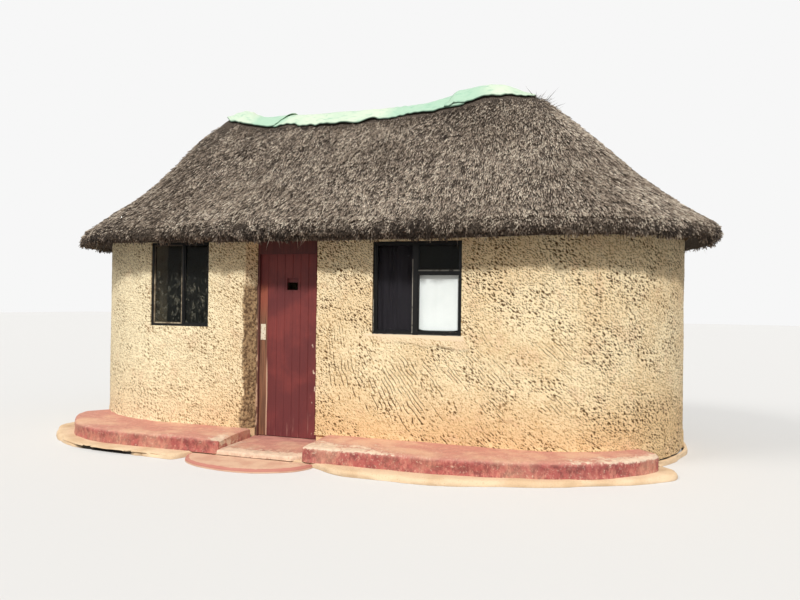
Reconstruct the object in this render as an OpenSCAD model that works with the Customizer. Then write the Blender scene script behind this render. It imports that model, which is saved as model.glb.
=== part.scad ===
// A thatched mud-walled hut with a straight front and back and two round ends.
// Millimetres. X runs along the front, Y goes from the front to the back and Z is up.
// The origin is on the ground, under the middle of the room.
// "Reach" is always the distance in plan from the ridge line, straight or around its two ends.

/* [Plan] */
// Length of the straight part of the front and the back
straight_len = 3925; // [3700:5:6000]
// Radius of the round ends, to the outer face of the wall
end_r = 1670; // [1500:5:2200]
// Thickness of the mud wall
wall_t = 280; // [240:5:340]
// Height of the wall over the door frame, up to the wall's outer top edge
wall_over = 150; // [110:5:300]

/* [Base] */
// Thickness of the cement footing that shows around the plinth
footing_t = 50; // [30:5:90]
// Thickness of the floor slab and the upper step, on the footing
floor_t = 40; // [25:5:60]
// Height of the red plinth above the footing
plinth_h = 145; // [100:5:200]
// Width of the plinth beside the door
plinth_wide = 610; // [520:10:640]
// Width of the plinth around the round ends
plinth_narrow = 430; // [340:10:450]
// Turn around each round end, from the front, at which the plinth stops
plinth_turn = 45; // [36:1:56]
// Share by which the plinth narrows before it stops
plinth_taper = 0.25; // [0:0.05:0.35]
// Width of the footing beside the door
footing_wide = 800; // [700:10:880]
// Width of the footing around the round ends
footing_narrow = 470; // [460:10:600]
// Width of the footing where there is no plinth
footing_rim = 60; // [40:10:100]
// Distance from the door at which the plinth has become narrow
narrow_from = 3200; // [2600:50:3600]
// Length over which the plinth becomes narrow
narrow_over = 1500; // [800:50:2000]

/* [Steps] */
// Where the upper step begins, to the left of the door's middle
step_left = 395; // [360:5:480]
// Where the upper step ends, to the right of the door's middle
step_right = 530; // [400:5:600]
// Length of the lower step along the front
low_step_len = 1350; // [1000:10:1800]
// How far the lower step comes out from the upper one
low_step_out = 395; // [250:5:500]
// Height of the lower step
low_step_h = 38; // [25:1:45]
// How far the lower step's middle lies to the left of the door's middle
low_step_shift = 35; // [0:5:80]

/* [Door] */
// Middle of the door leaf along the front
door_mid = -488; // [-560:2:-300]
// Width of the door leaf
leaf_w = 756; // [680:2:820]
// Height of the door leaf
leaf_h = 2020; // [1900:2:2100]
// Thickness of the leaf's boards
board_t = 22; // [18:1:30]
// Thickness of the ledges behind the boards
ledge_t = 23; // [18:1:30]
// Height of each ledge
ledge_h = 110; // [80:5:140]
// How far a ledge stops short of the leaf's edges
ledge_inset = 30; // [20:5:60]
// Gap between the leaf and the frame at the hinges
hinge_gap = 5; // [5:0.5:8]
// Gap between the leaf and the frame at the lock
lock_gap = 9; // [9:0.5:14]
// Gap over the leaf
top_gap = 5; // [5:0.5:10]
// Gap under the leaf
foot_gap = 8; // [6:0.5:15]
// Width of the frame's side posts
jamb_w = 40; // [35:1:60]
// Height of the frame's head
head_h = 127; // [100:1:150]
// How far the frame lies behind the wall's outer face
frame_back = 140; // [120:5:170]
// Depth of the frame's rebated stop
stop_d = 25; // [20:1:35]
// How far the stop covers the leaf's gap
stop_w = 16; // [15:1:20]
// Gap between the leaf and its stop
stop_gap = 5; // [5:0.5:8]
// How far the plaster covers the frame's face
plaster_cover = 20; // [10:1:30]
// How far the broken left reveal opens out at the wall's face
reveal_splay = 65; // [30:5:90]
// Side of the square hole in the leaf
peep_w = 130; // [80:5:150]
// Height of the hole's lower edge above the floor
peep_z = 1620; // [1500:2:1650]
// How far the hole's middle lies right of the leaf's middle
peep_x = 18; // [-60:2:60]

/* [Hinges and lock] */
// Height of each hinge
hinge_h = 100; // [80:2:120]
// Width of each hinge plate
hinge_w = 32; // [24:1:36]
// Thickness of the hinge plates
plate_t = 2; // [1.5:0.1:2.2]
// Radius of the hinge knuckles
knuckle_r = 7; // [6:0.5:9]
// Gap between the leaf's back and the knuckles
knuckle_out = 1; // [0.5:0.1:2]
// Radius of the hinge pin
pin_r = 4; // [3:0.5:4.5]
// Clearance around the pin and between the knuckles
pin_gap = 0.4; // [0.3:0.1:0.8]
// Width of the pale plate around the keyhole
lock_plate_w = 60; // [40:1:70]
// Height of the pale plate
lock_plate_h = 175; // [120:5:220]
// Thickness of the pale plate
lock_plate_t = 3; // [2:0.5:4]
// How far the pale plate lies in from the leaf's edge
lock_plate_in = 16; // [12:1:30]
// Radius of the keyhole in the pale plate
keyhole_r = 5; // [3:0.5:8]
// Width of the rim lock inside
rim_lock_w = 110; // [80:5:130]
// Height of the rim lock inside
rim_lock_h = 90; // [70:5:110]
// Depth of the rim lock inside
rim_lock_d = 30; // [24:1:34]
// Gap between the middle ledge and the rim lock over it
rim_lock_up = 80; // [20:5:120]

/* [Windows] */
// Height of both windows
window_h = 949; // [800:1:960]
// Left edge of the left window
left_window_x = -2187; // [-2200:1:-2100]
// Width of the left window
left_window_w = 774; // [700:2:800]
// Height of the left window's sill above the ground
left_sill_z = 1290; // [1200:5:1300]
// Left edge of the right window
right_window_x = 528; // [480:1:700]
// Width of the right window
right_window_w = 930; // [850:2:1000]
// Height of the right window's sill above the ground
right_sill_z = 1262; // [1200:5:1300]
// Width of the steel frames' bars
bar_w = 26; // [24:1:40]
// Depth of the steel frames
bar_d = 40; // [30:1:50]
// Width of the sash bars
sash_w = 14; // [12:1:24]
// Depth of the sashes
sash_d = 24; // [18:1:28]
// Thickness of the panes
pane_t = 4; // [3:0.5:6]
// How far the windows lie behind the wall's outer face
window_back = 15; // [10:1:40]
// Middle of the left window's mullion, from the window's left edge
left_mullion = 422; // [350:1:440]
// Middle of the right window's mullion, from the window's left edge
right_mullion = 450; // [400:1:520]
// Width of the right window's mullion
right_mullion_w = 44; // [40:1:80]
// Middle of the right window's transom, above the sill
right_transom = 632; // [560:1:680]
// Radius of the wire that the dark curtain hangs from
wire_r = 3; // [2:0.5:4]
// Thickness of the dark curtain's folds
curtain_t = 24; // [12:1:40]
// Gap between the window and the dark curtain
curtain_gap = 14; // [8:1:30]
// Thickness of the white cloth's folds
cloth_t = 12; // [6:1:13]
// How far the white cloth reaches behind the bars on each side
cloth_over = 15; // [5:1:24]
// How far the curtains hang short of the sill
curtain_short = 30; // [10:5:80]

/* [Roof frame] */
// Slope of the roof's underside
roof_tilt = 41; // [38:0.5:44]
// Radius of the roof poles
pole_r = 30; // [24:1:36]
// Radius of the ridge pole
ridge_r = 45; // [36:1:55]
// Thickness of the laths over the poles
lath_t = 25; // [18:1:32]
// Width of the laths
lath_w = 40; // [30:1:55]
// Number of laths up the slope
lath_count = 7; // [5:1:8]
// Reach of the uppermost lath
lath_first = 190; // [120:5:300]
// Poles over the straight front, and as many over the back
pole_count = 8; // [6:1:10]
// Poles around each end, between the straight ones
end_pole_count = 6; // [4:2:8]
// How far the outermost straight poles stand in from the straight part's ends
pole_inset = 70; // [50:5:120]
// Gap between the poles' upper ends over the ridge pole
pole_gap = 3; // [2:0.5:8]
// Reach of the poles' lower ends beyond the wall
pole_out = 60; // [50:5:110]

/* [Thatch] */
// Reach of the eaves beyond the wall
eave_out = 372; // [280:2:450]
// Height of the thatch above its underside, up and down
thatch_h = 320; // [260:5:380]
// How much the thatch is flattened over the ridge
crown_drop = 140; // [60:5:180]
// How much the slope hollows between the ridge and the eaves
slope_hollow = 45; // [0:5:80]
// How much thinner the thatch is over the lower part of the slope
eave_droop = 50; // [0:5:70]
// How much higher the eave's lower edge lies at the ends than in the middle
end_kick = 90; // [0:5:110]
// Height of the eave's outermost edge above the thatch's underside line
lip_high = 190; // [180:5:260]
// Height at which the eave's edge turns under
lip_low = 165; // [140:5:175]
// How far the thatch's lower edge lies inside the lip
butt_in = 107; // [80:1:140]
// How far in from the lip the thatch begins to turn down
lip_round = 100; // [30:1:110]
// Height of the hump near the ridge's right end
hump_h = 170; // [0:5:200]
// Distance of the hump from the ridge's right end
hump_in = 430; // [300:5:700]
// Height of the swelling over the ridge's left end
swell_h = 160; // [0:5:180]
// How far the swelling lies beyond the ridge's left end
swell_out = 380; // [200:5:450]
// How far the hump fades towards the middle of the ridge
hump_long = 620; // [400:10:900]
// How far the hump fades towards the ridge's right end
hump_short = 330; // [200:10:500]
// How far the hump fades down the slopes
hump_wide = 420; // [300:10:700]
// How far the swelling fades along the ridge
swell_long = 440; // [300:10:600]
// How far the swelling fades down the slopes
swell_wide = 600; // [400:10:800]
// How much the slope turns up at the right end's eave
tip_rise = 90; // [0:5:100]
// How far that rise reaches inwards along the ridge
tip_long = 450; // [300:10:600]
// How far that rise reaches around the right end
tip_wide = 1500; // [1000:50:2000]
// How far the thatch's underside bulges down between the lip and its lower edge
lip_sag = 12; // [0:1:25]

/* [Ridge sheet] */
// Width of the green sheet on each side of the ridge, in plan
sheet_reach = 280; // [150:5:320]
// Thickness of the sheet
sheet_t = 8; // [5:1:12]
// Gap between the sheet and the thatch under it
sheet_gap = 3; // [1:0.5:8]

/* [Hidden] */

half_len = straight_len / 2;
inner_r = end_r - wall_t;
floor_z = footing_t + floor_t;
seat = 0.2;
through = 50;
round_fn = 96;

// Door places, from the leaf outwards
leaf_x0 = door_mid - leaf_w / 2;
leaf_x1 = door_mid + leaf_w / 2;
jamb_x0 = leaf_x0 - lock_gap;
jamb_x1 = leaf_x1 + hinge_gap;
pocket_x0 = jamb_x0 - jamb_w;
pocket_x1 = jamb_x1 + jamb_w;
reveal_x0 = pocket_x0 + plaster_cover;
reveal_x1 = pocket_x1 - plaster_cover;
frame_y0 = -end_r + frame_back;
leaf_y0 = frame_y0 + stop_d + stop_gap;
ledge_y0 = leaf_y0 + board_t;
frame_y1 = ledge_y0 + ledge_t;
leaf_z0 = floor_z + foot_gap;
head_z = leaf_z0 + leaf_h + top_gap;
frame_z1 = head_z + head_h;
hinge_x = jamb_x1 - hinge_gap / 2;
hinge_y = frame_y1 + knuckle_r + knuckle_out;
hinge_levels = [0.12, 0.52, 0.9];
ledge_levels = [0.09, 0.45, 0.84];
rim_lock_z = leaf_z0 + leaf_h * ledge_levels[1] + ledge_h + rim_lock_up;
lock_plate_z = rim_lock_z + (rim_lock_h - lock_plate_h) / 2;
far = 2 * (straight_len + end_r);

// Step places
step_x0 = door_mid - step_left;
step_x1 = door_mid + step_right;
step_y0 = -end_r - plinth_wide;
low_step_mid = door_mid - low_step_shift;

// Roof lines in a section across the ridge
run = tan(roof_tilt);
plumb = 1 / cos(roof_tilt);
eave_reach = end_r + eave_out;
wall_top = frame_z1 + wall_over;
function under_z(reach) = wall_top + (lath_t + seat) * plumb + run * (end_r - reach);
function pole_z(reach) = under_z(reach) - (lath_t + pole_r + 2 * seat) * plumb;
function top_z(reach) = under_z(reach) + thatch_h - crown_drop * exp(-reach * run / crown_drop)
    + 4 * slope_hollow * ((reach / eave_reach) ^ 2 - reach / eave_reach)
    - eave_droop * ease((reach / eave_reach - 0.35) / 0.36);
ridge_z = pole_z(0) - (ridge_r + pole_r + seat) * plumb;

// Plan outline of the base, which is wide beside the door and narrow elsewhere
function ease(u) = let (c = min(1, max(0, u))) c * c * (3 - 2 * c);
function skirt(x, wide, narrow) =
    narrow + (wide - narrow) * ease((narrow_from - abs(x - door_mid)) / narrow_over);
base_steps = 16;
tip_steps = 8;
rest_steps = 18;
footing_turn = plinth_turn + 3;
// Turns around an end, from the front, at which the wide part of the outline has points
function tip_turns(stop) = concat(
    [for (i = [1:tip_steps]) (stop - 4) * i / tip_steps], [stop - 2, stop - 0.8, stop]);
function tip_r(x, turn, wide, narrow, taper, stop) = end_r + skirt(x, wide, narrow)
    * (1 - taper * ease((turn - stop + 25) / 25)) * (1 - 0.25 * max(0, (turn - stop + 4) / 4) ^ 2);
function tip_place(side, turn, wide, narrow, taper, stop) =
    let (x = side * (half_len + end_r * sin(turn)), r = tip_r(x, turn, wide, narrow, taper, stop))
    [side * (half_len + r * sin(turn)), -r * cos(turn)];
// Behind the wide part the outline keeps to the radius rest
function base_outline(wide, narrow, rest, taper, stop) = let (turns = tip_turns(stop)) concat(
    [for (i = [0:base_steps]) let (x = -half_len + straight_len * i / base_steps)
        [x, -end_r - skirt(x, wide, narrow)]],
    [for (turn = turns) tip_place(1, turn, wide, narrow, taper, stop)],
    [for (i = [0:rest_steps]) let (a = stop - 90 + (180 - stop) * i / rest_steps)
        [half_len + rest * cos(a), rest * sin(a)]],
    [for (i = [0:rest_steps]) let (a = 90 + (180 - stop) * i / rest_steps)
        [-half_len + rest * cos(a), rest * sin(a)]],
    [for (i = [len(turns) - 1:-1:0]) tip_place(-1, turns[i], wide, narrow, taper, stop)]);

// A half ellipse for the lower step
low_step_turns = 24;
low_step_outline = [for (i = [0:low_step_turns]) let (a = 180 + 180 * i / low_step_turns)
    [low_step_mid + low_step_len / 2 * cos(a), step_y0 + low_step_out * sin(a)]];

// Sweeps a section of reach and height along the straight part, or around an end
module along(x0, x1, back = false)
    translate([x0, 0, 0]) rotate([90, 0, 90]) linear_extrude(height = x1 - x0)
        mirror([back ? 0 : 1, 0]) children();
module around(x, a0, a1)
    translate([x, 0, 0]) rotate([0, 0, a0]) rotate_extrude(angle = a1 - a0, $fn = round_fn) children();
module stadium(r, h)
    linear_extrude(height = h) {
        translate([-half_len, -r]) square([straight_len, 2 * r]);
        for (s = [-1, 1]) translate([s * half_len, 0]) circle(r, $fn = round_fn);
    }
module between(x0, x1, y0 = -far, y1 = far) translate([x0, y0, 0]) cube([x1 - x0, y1 - y0, far]);

module footing() color("#c9b48f") difference() {
    linear_extrude(height = footing_t)
        polygon(base_outline(footing_wide, footing_narrow, end_r + footing_rim, 0, footing_turn));
    translate([0, 0, -1]) linear_extrude(height = footing_t + 2) polygon(low_step_outline);
}

module floor_slab() color("#a5927a") translate([0, 0, footing_t]) {
    stadium(inner_r, floor_t);
    translate([pocket_x0, frame_y0, 0])
        cube([pocket_x1 - pocket_x0, wall_t - frame_back + through, floor_t]);
    translate([reveal_x0, -end_r, 0]) cube([reveal_x1 - reveal_x0, frame_back + through, floor_t]);
}

module upper_step() color("#b06a5e")
    translate([step_x0, step_y0, footing_t]) cube([step_x1 - step_x0, plinth_wide, floor_t]);

module lower_step() color("#b98471") linear_extrude(height = low_step_h) polygon(low_step_outline);

// The plinth's band between the wall and the outline
module plinth_band() translate([0, 0, footing_t]) difference() {
    linear_extrude(height = plinth_h)
        polygon(base_outline(plinth_wide, plinth_narrow, end_r - wall_t / 2, plinth_taper, plinth_turn));
    translate([0, 0, -1]) stadium(end_r + seat, plinth_h + 2);
}
module plinth_front(x0, x1) color("#8f3f38") intersection() {
    plinth_band();
    between(x0, x1, -far, 0);
}
module plinth_front_left() plinth_front(-half_len, step_x0);
module plinth_front_right() plinth_front(step_x1, half_len);
module plinth_left_end() color("#8f3f38") intersection() {
    plinth_band();
    between(-far, -half_len);
}
module plinth_right_end() color("#8f3f38") intersection() {
    plinth_band();
    between(half_len, far);
}

// Section of the mud wall, whose top follows the laths
function wall_lid(reach) = under_z(reach) - (lath_t + seat) * plumb;
module wall_section() polygon([[inner_r, footing_t], [end_r, footing_t],
    [end_r, wall_lid(end_r)], [inner_r, wall_lid(inner_r)]]);

// One roof pole down the slope, from its upper reach to its lower one, or the slot that it lies in
function pole_len(upper) = (end_r + pole_out - upper) * plumb;
module on_slope(upper) translate([upper, 0, pole_z(upper)]) rotate([0, 90 + roof_tilt, 0]) children();
module roof_pole(upper) on_slope(upper) cylinder(r = pole_r, h = pole_len(upper), $fn = 24);
module pole_slot(upper) on_slope(upper)
    translate([-2 * wall_t, -pole_r - seat, 0])
        cube([2 * wall_t + pole_r + seat, 2 * (pole_r + seat), pole_len(upper)]);
straight_upper = pole_r * sin(roof_tilt) + pole_gap;
end_upper = (pole_r + pole_gap) / sin(90 / (end_pole_count + 1));
module at_straight_poles(side)
    for (i = [0:pole_count - 1])
        let (run_x = half_len - pole_inset)
            translate([-run_x + 2 * run_x * i / (pole_count - 1), 0, 0]) rotate([0, 0, 90 * side]) children();
module at_end_poles(side)
    for (i = [1:end_pole_count])
        translate([side * half_len, 0, 0])
            rotate([0, 0, (side > 0 ? -90 : 90) + 180 * i / (end_pole_count + 1)]) children();

module window_hole(x, z, w)
    translate([x, -end_r - through, z]) cube([w, wall_t + 2 * through, window_h]);

module front_wall_left() color("#d8c08a") difference() {
    along(-half_len, reveal_x0) wall_section();
    window_hole(left_window_x, left_sill_z, left_window_w);
    between(pocket_x0, far, frame_y0);
    linear_extrude(height = frame_z1) polygon([[reveal_x0 + 1, frame_y0], [reveal_x0 - 1, frame_y0],
        [reveal_x0 - reveal_splay, -end_r], [reveal_x0 - reveal_splay, -end_r - through],
        [reveal_x0 + 1, -end_r - through]]);
    at_straight_poles(-1) pole_slot(inner_r / 2);
}
module front_wall_right() color("#d8c08a") difference() {
    along(reveal_x1, half_len) wall_section();
    window_hole(right_window_x, right_sill_z, right_window_w);
    between(-far, pocket_x1, frame_y0);
    at_straight_poles(-1) pole_slot(inner_r / 2);
}
module wall_over_door() color("#d8c08a") difference() {
    along(pocket_x0, pocket_x1) wall_section();
    translate([pocket_x0 - 1, -end_r - 1, 0]) cube([pocket_x1 - pocket_x0 + 2, wall_t + 2, frame_z1]);
    between(-far, reveal_x0, -far, frame_y0);
    between(reveal_x1, far, -far, frame_y0);
    at_straight_poles(-1) pole_slot(inner_r / 2);
}
module back_wall() color("#d8c08a") difference() {
    along(-half_len, half_len, true) wall_section();
    at_straight_poles(1) pole_slot(inner_r / 2);
}
// Each round end is two parts, and the left window reaches into the first one on the left
sweep = 90;
module left_end_wall(i) color("#d8c08a") difference() {
    around(-half_len, 270 - i * sweep, 270 - (i - 1) * sweep) wall_section();
    window_hole(left_window_x, left_sill_z, left_window_w);
    at_end_poles(-1) pole_slot(inner_r / 2);
}
module right_end_wall(i) color("#d8c08a") difference() {
    around(half_len, -90 + (i - 1) * sweep, -90 + i * sweep) wall_section();
    at_end_poles(1) pole_slot(inner_r / 2);
}

// Door frame with a stop in front of the leaf's edges
module door_frame() color("#4a2420") difference() {
    translate([pocket_x0, frame_y0, floor_z])
        cube([pocket_x1 - pocket_x0, frame_y1 - frame_y0, frame_z1 - floor_z]);
    translate([jamb_x0, frame_y0 + stop_d, floor_z - 1])
        cube([jamb_x1 - jamb_x0, frame_y1 - frame_y0, head_z - floor_z + 1]);
    translate([jamb_x0 + stop_w, frame_y0 - 1, floor_z - 1])
        cube([jamb_x1 - jamb_x0 - 2 * stop_w, stop_d + 2, head_z - stop_w - floor_z + 1]);
}
module door_leaf() color("#7d2f2c") difference() {
    translate([leaf_x0, leaf_y0, leaf_z0]) cube([leaf_w, board_t, leaf_h]);
    translate([door_mid + peep_x - peep_w / 2, leaf_y0 - 1, floor_z + peep_z])
        cube([peep_w, board_t + 2, peep_w]);
}
module door_ledges() color("#6b2a27")
    for (level = ledge_levels)
        translate([leaf_x0 + ledge_inset, ledge_y0, leaf_z0 + leaf_h * level])
            cube([leaf_w - 2 * ledge_inset, ledge_t, ledge_h]);
module lock_plate() color("#e6dcc4") difference() {
    translate([leaf_x0 + lock_plate_in, leaf_y0 - lock_plate_t, lock_plate_z])
        cube([lock_plate_w, lock_plate_t, lock_plate_h]);
    translate([leaf_x0 + lock_plate_in + lock_plate_w / 2, leaf_y0 - lock_plate_t - 1,
        lock_plate_z + lock_plate_h * 0.4])
        rotate([-90, 0, 0]) cylinder(r = keyhole_r, h = lock_plate_t + 2, $fn = 24);
}
// The rim lock lies between the middle and the upper ledge
module rim_lock() color("#3b3936")
    translate([leaf_x0 + ledge_inset, ledge_y0, rim_lock_z]) cube([rim_lock_w, rim_lock_d, rim_lock_h]);

// Butt hinges: two outer knuckles on the frame with the pin, a middle one on the leaf
knuckle_h = hinge_h / 3;
plate_back = knuckle_r + knuckle_out;
module at_hinges() for (level = hinge_levels)
    translate([hinge_x, hinge_y, leaf_z0 + leaf_h * level - hinge_h / 2]) children();
module hinge_frame_plates() color("#55504a") at_hinges() {
    plate_x = hinge_gap / 2 - plate_t;
    cylinder(r = pin_r, h = hinge_h, $fn = 32);
    for (z = [0, hinge_h - knuckle_h]) translate([0, 0, z]) {
        cylinder(r = knuckle_r, h = knuckle_h, $fn = 32);
        translate([plate_x, -plate_back, 0]) cube([plate_t, plate_back, knuckle_h]);
    }
    translate([plate_x, -plate_back - hinge_w, 0]) cube([plate_t, hinge_w, hinge_h]);
}
module hinge_leaf_plates() color("#55504a") at_hinges() difference() {
    union() {
        translate([0, 0, knuckle_h + pin_gap]) {
            cylinder(r = knuckle_r, h = knuckle_h - 2 * pin_gap, $fn = 32);
            translate([-hinge_gap / 2, -plate_back, 0])
                cube([plate_t, plate_back, knuckle_h - 2 * pin_gap]);
        }
        translate([-hinge_gap / 2, -plate_back - hinge_w, 0]) cube([plate_t, hinge_w, hinge_h]);
    }
    translate([0, 0, -1]) cylinder(r = pin_r + pin_gap, h = hinge_h + 2, $fn = 32);
}

// Steel windows, set in the wall without a joint
window_y0 = -end_r + window_back;
sash_y0 = window_y0 + (bar_d - sash_d) / 2;
pane_y0 = window_y0 + (bar_d - pane_t) / 2;
left_lights = [
    [bar_w, left_mullion - bar_w / 2, bar_w, window_h - bar_w],
    [left_mullion + bar_w / 2, left_window_w - bar_w, bar_w, window_h - bar_w]];
right_lights = [
    [bar_w, right_mullion - right_mullion_w / 2, bar_w, window_h - bar_w],
    [right_mullion + right_mullion_w / 2, right_window_w - bar_w, bar_w, right_transom - bar_w / 2],
    [right_mullion + right_mullion_w / 2, right_window_w - bar_w, right_transom + bar_w / 2,
        window_h - bar_w]];
// A block in a light: x0, x1, z0 and z1 from the window's corner, less a border
module light_block(light, border, y, d)
    translate([light[0] + border, y, light[2] + border])
        cube([light[1] - light[0] - 2 * border, d, light[3] - light[2] - 2 * border]);
module steel_frame(w, lights) difference() {
    translate([0, window_y0, 0]) cube([w, bar_d, window_h]);
    for (light = lights) light_block(light, 0, window_y0 - 1, bar_d + 2);
}
module steel_sashes(lights) for (light = lights) difference() {
    light_block(light, 0, sash_y0, sash_d);
    light_block(light, sash_w, sash_y0 - 1, sash_d + 2);
}
module panes(lights) for (light = lights) light_block(light, sash_w, pane_y0, pane_t);
module at_left_window() translate([left_window_x, 0, left_sill_z]) children();
module at_right_window() translate([right_window_x, 0, right_sill_z]) children();
module left_window_frame() color("#262422") at_left_window() steel_frame(left_window_w, left_lights);
module left_window_sashes() color("#3a3632") at_left_window() steel_sashes(left_lights);
module left_window_panes() color("#1d2226") at_left_window() panes(left_lights);
module right_window_frame() color("#262422") at_right_window() steel_frame(right_window_w, right_lights);
module right_window_sashes() color("#3a3632") at_right_window() steel_sashes(right_lights);
module right_window_panes() color("#1d2226") at_right_window() panes(right_lights);

// The dark curtain hangs from a wire, and the white cloth is tucked behind the steel bars
curtain_y0 = window_y0 + bar_d + curtain_gap;
wire_z = window_h - bar_w - wire_r;
module curtain_wire() color("#8a8a86") at_right_window()
    translate([0, curtain_y0 + curtain_t / 2, wire_z]) rotate([0, 90, 0])
        cylinder(r = wire_r, h = right_window_w, $fn = 24);
module dark_curtain() color("#241a2e") at_right_window() let (light = right_lights[0])
    translate([light[0], curtain_y0, curtain_short])
        cube([light[1] - light[0], curtain_t, wire_z - wire_r - seat - curtain_short]);
module white_curtain() color("#e9eaec") at_right_window() let (light = right_lights[1])
    translate([light[0] - cloth_over, window_y0 + bar_d + seat, curtain_short])
        cube([light[1] - light[0] + 2 * cloth_over, cloth_t, right_transom - curtain_short]);

// Roof frame: ridge pole, poles down the slopes and laths across them
module ridge_pole() color("#6f563a")
    translate([-half_len - ridge_r, 0, ridge_z]) rotate([0, 90, 0])
        cylinder(r = ridge_r, h = straight_len + 2 * ridge_r, $fn = 32);
module slope_poles() color("#7a6244") for (side = [-1, 1]) at_straight_poles(side) roof_pole(straight_upper);
module end_poles() color("#7a6244") for (side = [-1, 1]) at_end_poles(side) roof_pole(end_upper);
lath_last = end_r + pole_out - lath_w;
module lath_sections()
    for (i = [0:lath_count - 1])
        let (reach = lath_first + (lath_last - lath_first) * i / (lath_count - 1))
            translate([reach, under_z(reach) - seat]) rotate(-roof_tilt)
                translate([-lath_w / 2, -lath_t]) square([lath_w, lath_t]);
module slope_laths() color("#8a704e") for (back = [false, true]) along(-half_len, half_len, back) lath_sections();
module end_laths() color("#8a704e") {
    around(-half_len, 90, 270) lath_sections();
    around(half_len, -90, 90) lath_sections();
}

// How much the old thatch stands higher at a place in plan
function bell(u) = exp(-u * u);
function lift(x, y) =
    let (hx = x - (half_len - hump_in), sx = x + half_len + swell_out)
    hump_h * bell(hx / (hx < 0 ? hump_long : hump_short)) * bell(y / hump_wide)
    + swell_h * bell(sx / swell_long) * bell(y / swell_wide)
    + tip_rise * bell((x - half_len - eave_reach) / tip_long) * bell(y / tip_wide);
// How much of the eave's lift at the ends a point of the section takes, which is its third value
function kick(x, p) = is_undef(p[2]) ? 0 : p[2] * end_kick * (abs(x) / (half_len + eave_reach)) ^ 3;
// Outer side of the thatch in a section: down the slope, then around the lip
crown_steps = 3;
slope_steps = 8;
lip_steps = 3;
lip_start = eave_reach - lip_round;
function mix(a, b, u) = a + (b - a) * u;
function curve(a, b, c, u) = mix(mix(a, b, u), mix(b, c, u), u);
outer_side = concat(
    [for (i = [0:crown_steps - 1]) let (reach = sheet_reach * i / crown_steps) [reach, top_z(reach)]],
    [for (i = [0:slope_steps]) let (reach = mix(sheet_reach, lip_start, i / slope_steps)) [reach, top_z(reach)]],
    [for (i = [1:lip_steps]) curve([lip_start, top_z(lip_start)], [eave_reach, top_z(eave_reach)],
        [eave_reach, under_z(eave_reach) + lip_high], i / lip_steps)]);
lip_side = [[eave_reach, under_z(eave_reach) + lip_low, 0],
    [eave_reach - butt_in / 2, (under_z(eave_reach) + lip_low + under_z(eave_reach - butt_in)) / 2 - lip_sag, 0.5]];
inner_side = [[eave_reach - butt_in, under_z(eave_reach - butt_in), 1],
    [end_r + pole_out + lath_t, under_z(end_r + pole_out + lath_t), 0]];
rim = concat(outer_side, lip_side);

// Skins rows of points, each a closed loop of the same length, with flat caps
module skin(rows) {
    n = len(rows[0]);
    m = len(rows);
    polyhedron(points = [for (row = rows) each row],
        faces = concat(
            [[for (k = [0:n - 1]) k]],
            [for (j = [0:m - 2], k = [0:n - 1]) let (l = (k + 1) % n)
                each [[j * n + k, (j + 1) * n + k, (j + 1) * n + l], [j * n + k, (j + 1) * n + l, j * n + l]]],
            [[for (k = [n - 1:-1:0]) (m - 1) * n + k]]));
}
// Skins rows of points around an axis, between an upper and a lower point on it
module fan(upper, lower, rows) {
    n = len(rows[0]);
    m = len(rows);
    polyhedron(points = concat([upper, lower], [for (row = rows) each row]),
        faces = concat(
            [concat([0], [for (k = [0:n - 1]) 2 + k], [1])],
            [for (j = [0:m - 2]) [0, 2 + (j + 1) * n, 2 + j * n]],
            [for (j = [0:m - 2]) [1, 2 + j * n + n - 1, 2 + (j + 1) * n + n - 1]],
            [for (j = [0:m - 2], k = [0:n - 2])
                each [[2 + j * n + k, 2 + (j + 1) * n + k, 2 + (j + 1) * n + k + 1],
                    [2 + j * n + k, 2 + (j + 1) * n + k + 1, 2 + j * n + k + 1]]],
            [concat([1], [for (k = [n - 1:-1:0]) 2 + (m - 1) * n + k], [0])]));
}

// Stations along the ridge and around the ends, shared by the thatch and the sheet over it
ridge_steps = 16;
lap_left = 2;
lap_right = 13;
end_steps = 18;
function station_x(i) = -half_len + straight_len * i / ridge_steps;
chord = 1 / cos(90 / end_steps);
function straight_row(x, side, section) =
    [for (p = section) [x, side * p[0], p[1] + lift(x, p[0]) + kick(x, p)]];
module thatch_straight(side) {
    rows = [for (i = [0:ridge_steps]) let (x = side < 0 ? station_x(i) : station_x(ridge_steps - i))
        concat(straight_row(x, side, rim), [for (p = inner_side) [x, side * p[0], p[1] + kick(x, p)]],
            [[x, 0, under_z(0)]])];
    skin(rows);
}
function end_point(side, a, p, raised) =
    let (x = side * half_len + p[0] * cos(a), y = p[0] * sin(a)) [x, y, p[1] + raised * lift(x, y) + kick(x, p)];
module thatch_end(side) {
    rows = [for (i = [0:end_steps]) let (a = (side > 0 ? -90 : 90) + 180 * i / end_steps)
        concat([for (k = [1:len(rim) - 1]) end_point(side, a, rim[k], 1)],
            [for (p = inner_side) end_point(side, a, [p[0] * chord, p[1], p[2]], 0)])];
    fan([side * half_len, 0, rim[0][1] + lift(side * half_len, 0)],
        [side * half_len, 0, under_z(0)], rows);
}
module thatch_front() color("#7c6c55") thatch_straight(-1);
module thatch_back() color("#7c6c55") thatch_straight(1);
module thatch_left_end() color("#7c6c55") thatch_end(-1);
module thatch_right_end() color("#7c6c55") thatch_end(1);

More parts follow.
